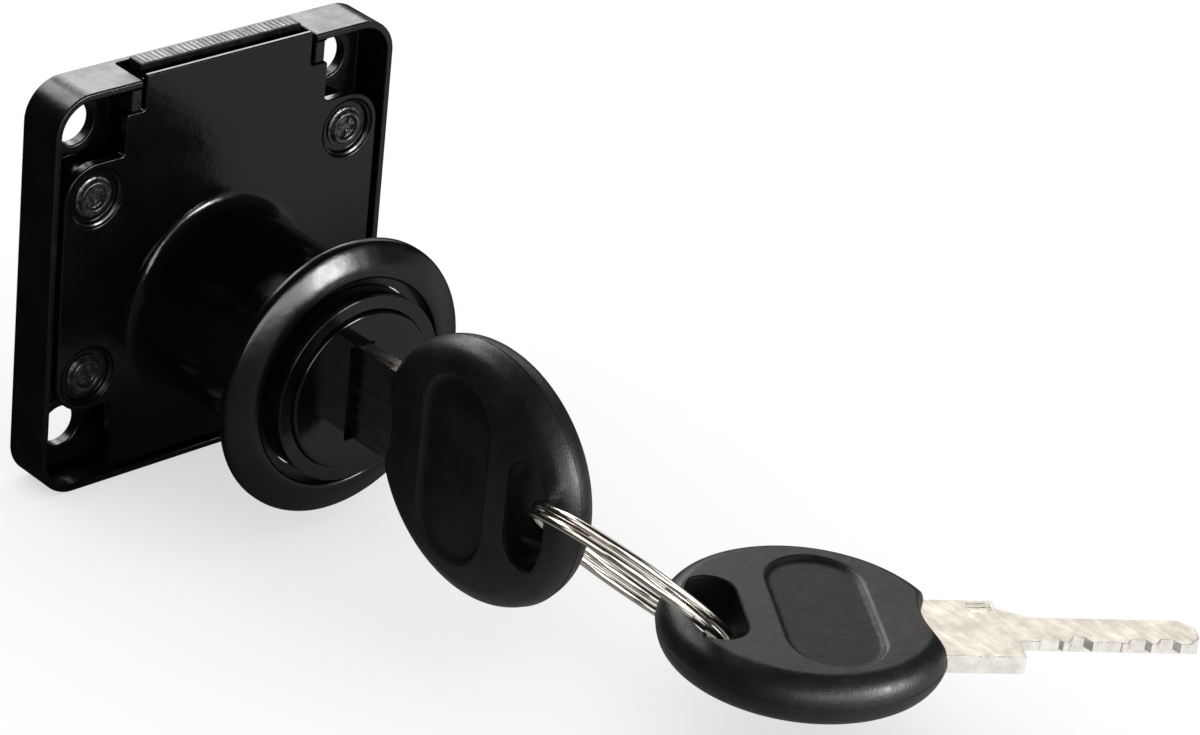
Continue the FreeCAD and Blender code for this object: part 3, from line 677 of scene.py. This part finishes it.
screw = turned_part("cover_screw_heads", rounded(SCREW_PROFILE), 48, z=0.0)
cut(screw, box("slot_a", slot_long, slot_deep, slot_wide), box("slot_b", slot_wide, slot_deep, slot_long),
    turned_part("dimple", DIMPLE, 24, z=0.0))
break_edges(screw, 0.05, 2)

# %% Set the four screws with Geometry Nodes
SOCKETS = {float: "NodeSocketFloat", int: "NodeSocketInt", tuple: "NodeSocketVector",
           type(None): "NodeSocketMaterial"}


def new_tree(name, **inputs):
    """A geometry tree with a Geometry input and output, named inputs with their defaults, and a Finish."""
    tree = bpy.data.node_groups.new(name, "GeometryNodeTree")
    tree.interface.new_socket("Geometry", in_out="INPUT", socket_type="NodeSocketGeometry")
    tree.interface.new_socket("Geometry", in_out="OUTPUT", socket_type="NodeSocketGeometry")
    for label, value in (*inputs.items(), ("Finish", None)):
        label, kind = label.replace("_", " "), SOCKETS[type(value)]
        tree.interface.new_socket(label, in_out="INPUT", socket_type=kind).default_value = value
    return tree, tree.nodes.new("NodeGroupInput").outputs


def end_tree(tree, given, geometry):
    """Ends a tree with real meshes that wear the finish it is given."""
    real = add(tree, "GeometryNodeRealizeInstances", {"Geometry": geometry})
    painted = add(tree, "GeometryNodeSetMaterial", {"Geometry": real, "Material": given["Finish"]})
    add(tree, "NodeGroupOutput", {0: painted})


def run_tree(piece, tree, **values):
    """Runs a tree on a piece with its named inputs set, and keeps the result as a plain mesh."""
    step = piece.modifiers.new(tree.name, "NODES")
    step.node_group = tree
    for item in tree.interface.items_tree:
        if item.item_type == "SOCKET" and item.in_out == "INPUT" and item.name.replace(" ", "_") in values:
            step[item.identifier] = values[item.name.replace(" ", "_")]
    return settle(piece)


def instances(tree, points, instance, **rotation):
    return add(tree, "GeometryNodeInstanceOnPoints", {"Points": points, "Instance": instance, **rotation})


tree, given = new_tree("Screws on a rectangle", Spacing_X=0.03, Spacing_Z=0.0188, Centre=(0, 0, 0), Seed=4)
grid = add(tree, "GeometryNodeMeshGrid", {
    "Size X": given["Spacing X"], "Size Y": given["Spacing Z"], "Vertices X": 2, "Vertices Y": 2})
stand = add(tree, "GeometryNodeTransform", {
    "Geometry": grid, "Translation": given["Centre"], "Rotation": (math.radians(90), 0, 0)})
spin = add(tree, "FunctionNodeRandomValue", {"Seed": given["Seed"], "Min": (0, 0, 0), "Max": (0, 6.283, 0)},
           data_type="FLOAT_VECTOR")
end_tree(tree, given, instances(tree, stand, given["Geometry"], Rotation=spin))
run_tree(screw, tree, Spacing_X=2 * SCREW_X * MM, Spacing_Z=(SCREW_Z[0] - SCREW_Z[1]) * MM,
         Centre=(0, COVER_FRONT * MM, (SCREW_Z[0] + SCREW_Z[1]) / 2 * MM), Finish=screw_oxide)
smooth(screw)
dress(screw, screw_oxide, "case", "cover_screws", slot="screw_black")

# %% [markdown]
# ## The bolt
# The bolt is a flat steel bar, and only its end shows in the notch, ribbed across by the cutter that faced it.
# The ribs repeat, so Geometry Nodes lay them out: one rib is copied along the end at a fixed pitch, and a seeded
# random wear lowers each one a little.

# %% Make the bolt and its ribs
BOLT_FRONT, BOLT_BACK = COVER_BACK + 0.45, COVER_BACK + 2.4
BOLT_HALF, BOLT_FOOT, BOLT_TOP = 9.5, -13.15, 21.86
SLOT_WIDE, SLOT_HIGH = 5.56, 2.41
RIB_PROFILE = [(-0.23, -0.3, 0), (0.23, -0.3, 0), (0.2, 0.05, 0.05), (-0.2, 0.05, 0.05)]
RIB_COUNT, RIB_PITCH, RIB_WEAR = 32, 0.56, 0.035

bar = rounded([(-BOLT_HALF, BOLT_FOOT, 0.2), (BOLT_HALF, BOLT_FOOT, 0.2),
               (BOLT_HALF, BOLT_TOP, 0.25), (-BOLT_HALF, BOLT_TOP, 0.25)])
bolt = plate("bolt_bar", bar, BOLT_FRONT, BOLT_BACK)
cut(bolt, box("pin_slot", (-SLOT_WIDE, SLOT_WIDE), (BOLT_FRONT - 1, BOLT_BACK + 1),
              (PIN_Z - SLOT_HIGH, PIN_Z + SLOT_HIGH)))
break_edges(bolt, 0.12, 2)
dress(bolt, bar_oxide_and_painted_shade, "bolt", "bolt", slot="bolt_black")

rib = plate("bolt_end_ribs", rounded(RIB_PROFILE), BOLT_FRONT + 0.1, BOLT_BACK - 0.14)
break_edges(rib, 0.03, 1)
tree, given = new_tree("Ribs in a row", Count=32, Pitch=0.00056, Height=0.02175, Wear=0.00005, Seed=7)
length = maths(tree, "MULTIPLY", maths(tree, "SUBTRACT", given["Count"], 1.0), given["Pitch"])
first = add(tree, "ShaderNodeCombineXYZ", {0: maths(tree, "MULTIPLY", length, -0.5), 2: given["Height"]})
stride = add(tree, "ShaderNodeCombineXYZ", {0: given["Pitch"]})
row = add(tree, "GeometryNodeMeshLine", {"Count": given["Count"], "Start Location": first, "Offset": stride})
worn = add(tree, "FunctionNodeRandomValue", {"Seed": given["Seed"], 2: -1.0, 3: 0.0}, out=1)
shift = add(tree, "ShaderNodeCombineXYZ", {2: maths(tree, "MULTIPLY", worn, given["Wear"])})
uneven = add(tree, "GeometryNodeSetPosition", {"Geometry": row, "Offset": shift})
end_tree(tree, given, instances(tree, uneven, given["Geometry"]))
run_tree(rib, tree, Count=RIB_COUNT, Pitch=RIB_PITCH * MM, Height=BOLT_TOP * MM, Wear=RIB_WEAR * MM,
         Finish=bolt_steel)
smooth(rib)
dress(rib, bolt_steel, "bolt", slot="bolt_black")

# %% [markdown]
# ## The trim ring
# The trim ring is pressed from steel sheet: a dome outside, a sharp rear edge and a plain lip that looks at the
# barrel. Its shape follows one rule, so Geometry Nodes turn it: the outline is a curve that is swept along a
# circle, whose radius and number of steps are named inputs.

# %% Turn the trim ring with Geometry Nodes
TRIM_BACK = BARREL_FRONT + 3.25
SWEEP_R = 12.0
DOME = [(13.95, 0.32), (13.93, 0.55), (13.85, 0.76), (13.66, 0.92), (13.3, 1.1), (12.9, 1.29), (12.5, 1.47),
        (12.1, 1.64), (11.7, 1.78), (11.35, 1.86), (11.0, 1.89), (10.75, 1.86), (10.58, 1.76), (10.5, 1.6)]
REAR = [(10.5, 0.8), (9.6, 0.8), (9.6, 0), (10.3, 0), (10.8, 0.5), (12.75, 0.5), (13.25, 0), (13.9, 0),
        (13.95, 0.06)]


def trim_profile(name):
    """The ring's outline as a chain of edges in the XY plane, drawn from the circle that it is swept along."""
    points = [((radius - SWEEP_R) * MM, (TRIM_BACK - forwards) * MM, 0) for radius, forwards in DOME + REAR]
    mesh = bpy.data.meshes.new(name)
    mesh.from_pydata(points, pairs(range(len(points))), [])
    return new_object(name, mesh)


tree, given = new_tree("Turned outline", Radius=0.01, Steps=160)
circle = add(tree, "GeometryNodeCurvePrimitiveCircle", {"Resolution": given["Steps"], "Radius": given["Radius"]})
level_normals = add(tree, "GeometryNodeSetCurveNormal", {"Curve": circle}, mode="Z_UP")
drawn = add(tree, "GeometryNodeMeshToCurve", {"Mesh": given["Geometry"]})
end_tree(tree, given, add(tree, "GeometryNodeCurveToMesh", {"Curve": level_normals, "Profile Curve": drawn}))
trim = trim_profile("trim_ring_dome")
run_tree(trim, tree, Radius=SWEEP_R * MM, Steps=180, Finish=trim_enamel)
trim.data.transform(Matrix.Translation((0, 0, AXIS_Z * MM)) @ Matrix.Rotation(math.radians(90), 4, "X"))
reshape(trim, turn_outwards)
smooth(trim, 40.0)
dress(trim, trim_enamel, "trim_ring", "trim_ring", slot="trim_black")

# %% [markdown]
# ## The plug
# The plug is turned brass under black enamel. Its face is flat with a narrow chamfer, and the keyway goes through
# it, with a shallow recess round its mouth that guides the key in. Behind the flange are the slots of the wafers.

# %% Turn the plug and cut its keyway
PLUG_REAR = COVER_BACK - 0.05
FLANGE_BACK, SHANK_R = -25.25, 7.0
KEYWAY = (-1.0, 1.0)


def round_axis(reach):
    """A span of heights, as far below the barrel's axis as above it."""
    return AXIS_Z - reach, AXIS_Z + reach


plug = turned_part("plug_body", rounded([
    (0, PLUG_FACE, 0), (FLANGE_R, PLUG_FACE, 0.28), (FLANGE_R, FLANGE_BACK, 0.05),
    (SHANK_R, FLANGE_BACK, 0.05), (SHANK_R, PLUG_REAR, 0.1), (0, PLUG_REAR, 0)]), 128)
join(plug, rod("pin", 1.5, PLUG_REAR - 0.5, -1.8, 0, PIN_Z, 48))
tools = [box("keyway", KEYWAY, (PLUG_FACE - 1, -8.35), round_axis(2.2)),
         box("keyway_mouth", KEYWAY, (PLUG_FACE - 1, KEY_Y + 21.4), round_axis(4.9)),
         box("keyway_recess", (-1.75, 1.1), (PLUG_FACE - 1, PLUG_FACE + 1.1), round_axis(4.95)),
         box("retainer_slot", (-2.45, 2.45), (-7.45, -6.15), (AXIS_Z + 0.55, AXIS_Z + 8))]
for y, depth in BITES:
    wafer_ys = (KEY_Y + y - 0.55, KEY_Y + y + 0.55)
    tools.append(box("slot", (-2.95, 2.95), wafer_ys, round_axis(8)))
    tools.append(box("ear_slot", (0, 4.65), wafer_ys, (AXIS_Z - 1.05, AXIS_Z + 8)))
stop_room = [(7.2, -26.2), (9, -26.2), (9, -25.2), (7.2, -25.2)]
tools.append(turned_part("stop_room", stop_room, 60, start=-101.5, sweep=203))
cut(plug, *tools)
break_edges(plug, 0.07, 2)
dress(plug, plug_enamel, "plug", "plug", slot="plug_black")

# %% [markdown]
# ## The key heads
# Each head is moulded round the end of its blade: an oval with a soft rim, a long hole for the ring and a sunken
# panel on both sides. It has no sharp edge anywhere, so it is drawn as rings of points at set distances from the
# oval, the hole and the panel, with quads between them, and the flats are filled in. A fine ridge round the
# middle is where the mould parted.

# %% Work out the head's outline and section
HEAD_HALF = 2.5
HEAD_LENGTH_R, HEAD_WIDTH_R = 13.3, 12.8
SCALLOP_R, SCALLOP_DEPTH = 10.0, 2.3
STEEPNESS = 3.0
CORNER_BLEND = 0.9
HOLE_U, HOLE_HALF_W, HOLE_HALF_L, HOLE_EDGE_R = -8.3, 2.4, 5.3, 0.22
PANEL_U, PANEL_HALF_W, PANEL_HALF_L = 1.7, 4.6, 9.5
DEEP_CENTRE, DEEP_CORNER = 2.36, 2.45
SECTION = [(2.15, 2.5), (1.95, 2.488), (1.75, 2.44), (1.5, 2.34), (1.2, 2.17), (0.95, 2.0), (0.72, 1.8),
           (0.52, 1.55), (0.36, 1.28), (0.24, 1.0), (0.15, 0.72), (0.09, 0.44), (0.06, 0.2), (0.05, 0.07),
           (0.0, 0.03)]
PANEL_EDGE = [(0.22, 0.0), (0.08, 0.015), (-0.05, 0.07), (-0.2, 0.2), (-0.35, 0.33), (-0.5, 0.41), (-0.7, 0.445),
              (-0.95, 0.45)]


def depth_in(u, v):
    """How far a point is inside the head's outline, u along the key and v across it."""
    level = math.hypot(u / HEAD_LENGTH_R, v / HEAD_WIDTH_R)
    slope = math.hypot(u / HEAD_LENGTH_R ** 2, v / HEAD_WIDTH_R ** 2) / max(level, 1e-6)
    oval = (1 - level) / max(slope, 1e-6)
    from_scallop = math.hypot(u - (HEAD_LENGTH_R - SCALLOP_DEPTH + SCALLOP_R), v) - SCALLOP_R
    scallop = from_scallop * STEEPNESS
    blend = max(CORNER_BLEND - abs(oval - scallop), 0.0)
    return min(oval, scallop) - blend * blend / (4 * CORNER_BLEND)


def outline_at(distance, count=216, halvings=36):
    """The ring of points at one distance inside the outline, each found by halving the way to it."""
    ring = []
    for k in range(count):
        angle = 2 * math.pi * k / count
        low, high = 2.0, 15.0
        for _ in range(halvings):
            middle = (low + high) / 2
            if depth_in(middle * math.cos(angle), middle * math.sin(angle)) > distance:
                low = middle
            else:
                high = middle
        ring.append((low * math.cos(angle), low * math.sin(angle)))
    return ring


def stadium_ring(centre_u, half_width, half_length, count=14):
    """A ring round a slot with round ends, long across the key."""
    ring = []
    straight = half_length - half_width
    for end, start in ((1, 0.0), (-1, 180.0)):
        for k in range(count + 1):
            angle = math.radians(start + 180 * k / count)
            ring.append((centre_u + half_width * math.cos(angle), end * straight + half_width * math.sin(angle)))
    return ring


print("rim rings:", 2 * len(SECTION))

# %% Mould one head
def head_shape():
    """The head as one bmesh, with the panels' faces in the second material and the hole's walls in the third,
    which is painted near black as shade.
    """
    shape = bmesh.new()

    def ring_of(points, height):
        return [shape.verts.new((height, u, v)) for u, v in points]

    def edges_of(ring):
        return [shape.edges.get(pair) or shape.edges.new(pair) for pair in pairs(ring)]

    def new_faces(first):
        shape.faces.ensure_lookup_table()
        return shape.faces[first:]

    outlines = {d: outline_at(d) for d, h in SECTION}
    rim = [ring_of(outlines[d], h) for d, h in SECTION + [(d, -h) for d, h in reversed(SECTION)]]
    skin(shape, rim)
    turns = [math.radians(a) for a in range(0, 91, 15)]
    soft = [(HOLE_EDGE_R * (1 - math.sin(t)), HEAD_HALF - HOLE_EDGE_R * (1 - math.cos(t))) for t in turns]
    hole_rings = [ring_of(stadium_ring(HOLE_U, HOLE_HALF_W + off, HOLE_HALF_L + off), h)
                  for off, h in soft + [(off, -h) for off, h in reversed(soft)]]
    raised = len(shape.faces)
    skin(shape, hole_rings)
    # The hole's walls take the third material, painted near black as the shade inside the hole.
    for face in new_faces(raised):
        face.material_index = 2
    for side, end in ((1, 0), (-1, -1)):
        panel = [ring_of(stadium_ring(PANEL_U, PANEL_HALF_W + off, PANEL_HALF_L + off),
                         side * (HEAD_HALF - drop)) for off, drop in PANEL_EDGE]
        raised = len(shape.faces)
        skin(shape, panel)
        flat = edges_of(rim[end]) + edges_of(hole_rings[end]) + edges_of(panel[0])
        bmesh.ops.triangle_fill(shape, edges=flat, use_beauty=True)
        shape.faces.new(panel[-1]).material_index = 1
        for face in new_faces(raised):
            deep = all(abs(v.co.x) < DEEP_CORNER for v in face.verts)
            if deep and abs(face.calc_center_median().x) < DEEP_CENTRE:
                face.material_index = 1
    return shape


head = as_object("key_head_moulding", head_shape())
for material in (head_plastic, panel_plastic, hole_painted_shade):
    head.data.materials.append(material)
cut(head, box("tang_slot", (-0.93, 0.93), (4.4, 16), (-4.83, 4.83)))
smooth(head, 40.0)
head_mesh = head.data.copy()
print("head faces:", len(head_mesh.polygons))

# %% [markdown]
# ## The key blades
# Shank and blade are stamped from one brass sheet and nickel plated. The bites are milled into the lower edge,
# which leaves a flat floor and two flanks in each, the tip is bevelled so that it finds the keyway, and a ward
# thins the cut edge on one side. A small stamped notch marks the end of the shank.

# %% Stamp one blade
BLADE_HALF = 0.9
BLADE_EDGE, SHANK_EDGE = 2.1, 4.8
SHANK_START, SHANK_END, TIP = 4.5, 19.4, 36.55
TIP_BEVEL, TIP_FLAT = 1.3, 0.8
BITE_HALF, BITE_FLANK = 1.15, 0.7

corners = [(SHANK_START, -SHANK_EDGE, 0.3), (SHANK_END, -SHANK_EDGE, 0.25), (SHANK_END, -BLADE_EDGE, 0.2)]
for y, depth in BITES:
    floor_half = BITE_HALF - BITE_FLANK * depth
    corners += [(y - BITE_HALF, -BLADE_EDGE, 0.06), (y - floor_half, -BLADE_EDGE + depth, 0.12),
                (y + floor_half, -BLADE_EDGE + depth, 0.12), (y + BITE_HALF, -BLADE_EDGE, 0.06)]
corners += [(TIP - TIP_BEVEL, -BLADE_EDGE, 0.15), (TIP, -TIP_FLAT, 0.35), (TIP, TIP_FLAT, 0.35),
            (TIP - TIP_BEVEL, BLADE_EDGE, 0.15), (21.2, BLADE_EDGE, 0.4), (18.4, 3.6, 0.3),
            (18.4, SHANK_EDGE, 0.15), (SHANK_START, SHANK_EDGE, 0.3)]
blade = slab("key_blade_stamping", rounded(corners, 18.0), -BLADE_HALF, BLADE_HALF)
cut(blade, box("ward", (-1.9, -0.1), (SHANK_END, 38), (-3.1, -0.8)),
    box("notch", (0.35, 1.9), (15.9, 18.1), (2.9, 4.55)))
break_edges(blade, 0.09, 2)
blade_mesh = blade.data.copy()
print("blade faces:", len(blade_mesh.polygons))

# %% [markdown]
# ## The two keys and the ring that holds them
# The first key is in the plug. The ring goes through its hole, and the spare key lies on the ring, turned away
# from it. Their places follow from the ring's axis and the ways between the holes and its centre.

# %% Place the keys
RING_R, WIRE_R, TURN_GAP = 10.3, 0.42, 0.1
FIRST_HOLE_IN, SPARE_HOLE_IN = 0.12, 1.42
TO_RING_CENTRE = Vector((0.1809, -0.9513, -0.2495)).normalized()
TO_SPARE_HOLE = Vector((0.3786, -0.8651, -0.3291)).normalized()

ring_axis = Vector((0.7013, 0.0355, 0.7119)).normalized()
first_place = Vector((0, KEY_Y, AXIS_Z))
first_hole = first_place + Vector((0, HOLE_U, 0))
ring_centre = first_hole + TO_RING_CENTRE * (RING_R - FIRST_HOLE_IN)
spare_hole = ring_centre + TO_SPARE_HOLE * (RING_R - SPARE_HOLE_IN)
along = Vector((0.8404, -0.5415, -0.0244)).normalized()
spare_place = spare_hole - along * HOLE_U
across = Vector((0.0225, -0.0101, 0.9997)).cross(along).normalized()
square = (Vector((1, 0, 0)), Vector((0, 1, 0)), Vector((0, 0, 1)))
spare_axes = (along.cross(across), along, across)


def lay_key(prefix, place, axes):
    """A key's head and blade at a place, with its thickness, length and width along three axes."""
    for mesh_source, name, material, node, slot in (
            (head_mesh, "key_head_moulding", None, "key_head", "key_plastic"),
            (blade_mesh, "key_blade_stamping", key_nickel, "key_blade", "key_nickel")):
        mesh = mesh_source.copy()
        mesh.name = prefix + name
        mesh.transform(set_down(place, axes))
        dress(new_object(prefix + name, mesh), material, prefix + "key", prefix + node, slot=slot)


for pattern in (head, blade):
    bpy.data.objects.remove(pattern)
lay_key("", first_place, square)
lay_key("spare_", spare_place, spare_axes)

# %% [markdown]
# ## The split ring
# A split ring is a wire wound twice, whose two turns change places in one short stretch so that a key can be slid
# on. The wire follows a rule, so Geometry Nodes wind it: a straight line of points is bent round by an angle,
# lifted or dropped by a level, and given its thickness.

# %% Wind the ring with Geometry Nodes
tree, given = new_tree("Split ring", Ring_radius=0.0103, Wire_radius=0.00042, Turn_level=0.00063,
                       Start_angle=0.45, Wound_angle=11.66, Cross_half=0.45)
line = add(tree, "GeometryNodeMeshLine", {"Count": 361})
track = add(tree, "GeometryNodeMeshToCurve", {"Mesh": line})
part = add(tree, "GeometryNodeSplineParameter", out="Factor")
wound = maths(tree, "MULTIPLY_ADD", part, given["Wound angle"], given["Start angle"])
cross_span = [maths(tree, operation, 2 * math.pi, given["Cross half"]) for operation in ("SUBTRACT", "ADD")]
below = maths(tree, "MULTIPLY", given["Turn level"], -1.0)
level = spread(tree, wound, cross_span, given["Turn level"], below, interpolation_type="SMOOTHSTEP")
x_at, y_at = [maths(tree, "MULTIPLY", maths(tree, wave, wound), given["Ring radius"])
              for wave in ("COSINE", "SINE")]
point = add(tree, "ShaderNodeCombineXYZ", {0: x_at, 1: y_at, 2: level})
bent = add(tree, "GeometryNodeSetPosition", {"Geometry": track, "Position": point})
wire = add(tree, "GeometryNodeCurvePrimitiveCircle", {"Resolution": 24, "Radius": given["Wire radius"]})
end_tree(tree, given, add(tree, "GeometryNodeCurveToMesh", {
    "Curve": bent, "Profile Curve": wire, "Fill Caps": True}))

seed_mesh = bpy.data.meshes.new("split_ring_wire")
seed_mesh.from_pydata([(0, 0, 0)], [], [])
ring = new_object("split_ring_wire", seed_mesh)
run_tree(ring, tree, Ring_radius=RING_R * MM, Wire_radius=WIRE_R * MM, Turn_level=(WIRE_R + TURN_GAP / 2) * MM,
         Start_angle=math.radians(26), Wound_angle=math.radians(668), Cross_half=math.radians(26),
         Finish=ring_nickel)
to_hole = first_hole - ring_centre
zero = (to_hole - ring_axis * to_hole.dot(ring_axis)).normalized()
quarter = ring_axis.cross(zero)
cross_turn = math.radians(225)
ring_x = zero * math.cos(cross_turn) + quarter * math.sin(cross_turn)
ring.data.transform(set_down(ring_centre, (ring_x, ring_axis.cross(ring_x), ring_axis)))
reshape(ring, turn_outwards)
smooth(ring, 50.0)
dress(ring, ring_nickel, "split_ring", "split_ring", slot="ring_nickel")

# %% [markdown]
# ## What each lamp lights
# A light can be told which pieces it lights, or which ones it leaves out.

# %% Choose the pieces for each lamp
def lit_pieces(name, lamps, pieces, state="INCLUDE"):
    """Lets lamps light these pieces alone, or with the state EXCLUDE all but these."""
    chosen = bpy.data.collections.new(name)
    for piece in pieces:
        chosen.objects.link(piece)
    for entry in chosen.collection_objects:
        entry.light_linking.link_state = state
    for lamp in lamps:
        lamp.light_linking.receiver_collection = chosen
    print("%-26s %s" % (name, ", ".join(lamp.name for lamp in lamps)))


lit_pieces("All_but_the_paper", behind + [strip_in_front], [floor], "EXCLUDE")
lit_pieces("All_but_paper_trim_plug", [box_in_front], [floor, trim, plug], "EXCLUDE")
lit_pieces("Trim_ring_and_plug", [box_for_the_trim], [trim, plug])
lit_pieces("Bright_metal", cards, [ring, bpy.data.objects["spare_key_blade_stamping"]])
lit_pieces("Paper", [sun], [floor])

# %% [markdown]
# ## The retainer's spring
# The spring under the retainer shortens as the retainer is pressed, so it is wound here as a piece of its own. A
# wire is a chain of rings, each set square to the way that the wire runs.

# %% Wind the spring under the retainer
SPRING_Y, SPRING_FOOT, SPRING_LENGTH = -6.8, AXIS_Z - 2.2, 3.66
SPRING_R, SPRING_WIRE_R, SPRING_TURNS, SPRING_STEPS = 0.72, 0.18, 4, 160


def wire_along(name, points, radius, sides=12):
    """A round wire along a chain of points in mm, closed at both ends."""
    shape = bmesh.new()
    rings = []
    turns = [2 * math.pi * side / sides for side in range(sides)]
    for k, point in enumerate(points):
        way = (points[min(k + 1, len(points) - 1)] - points[max(k - 1, 0)]).normalized()
        across = way.cross(Vector((0, 0, 1))).normalized()
        rise = across.cross(way)
        spokes = [(across * math.cos(t) + rise * math.sin(t)) * radius for t in turns]
        rings.append([shape.verts.new(point + spoke) for spoke in spokes])
    skin(shape, rings)
    shape.faces.new(rings[0][::-1])
    shape.faces.new(rings[-1])
    return as_object(name, shape)


winding = []
for k in range(SPRING_STEPS + 1):
    share = k / SPRING_STEPS
    angle = 2 * math.pi * SPRING_TURNS * share
    winding.append(Vector((SPRING_R * math.cos(angle), SPRING_Y + SPRING_R * math.sin(angle),
                           SPRING_FOOT + SPRING_WIRE_R + share * (SPRING_LENGTH - 2 * SPRING_WIRE_R))))
coil = smooth(wire_along("retainer_spring_coil", winding, SPRING_WIRE_R))
dress(coil, spring_steel, "plug", "retainer_spring", slot="spring_steel")
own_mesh(coil)

# %% [markdown]
# ## The parts inside
# Wafers, their springs and the retainer keep their solids, because their shapes are already right. They are seen
# through the keyway when the key is out, and they get the finish of stamped brass and of drawn wire.

# %% Give the inner parts their finish
for name, node in nodes.items():
    if name.startswith("wafer_spring"):
        chosen = spring_steel
    elif name.startswith("wafer") or name == "retainer":
        chosen = wafer_brass
    else:
        continue
    for holder in node.material_slots:
        holder.material = chosen
print("inner parts:", sum(1 for n in nodes if n.startswith("wafer")) + 1)

# %% [markdown]
# ## The size of the dressed lock
# The dressed lock has to stay inside the box of its solids, so both boxes are printed and can be compared.

# %% Print both boxes and finish
dressed_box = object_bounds()
for name, corners in (("cad", cad_box), ("dressed", dressed_box)):
    print(name, "box in mm:", [[round(v / MM, 3) for v in corner] for corner in corners])
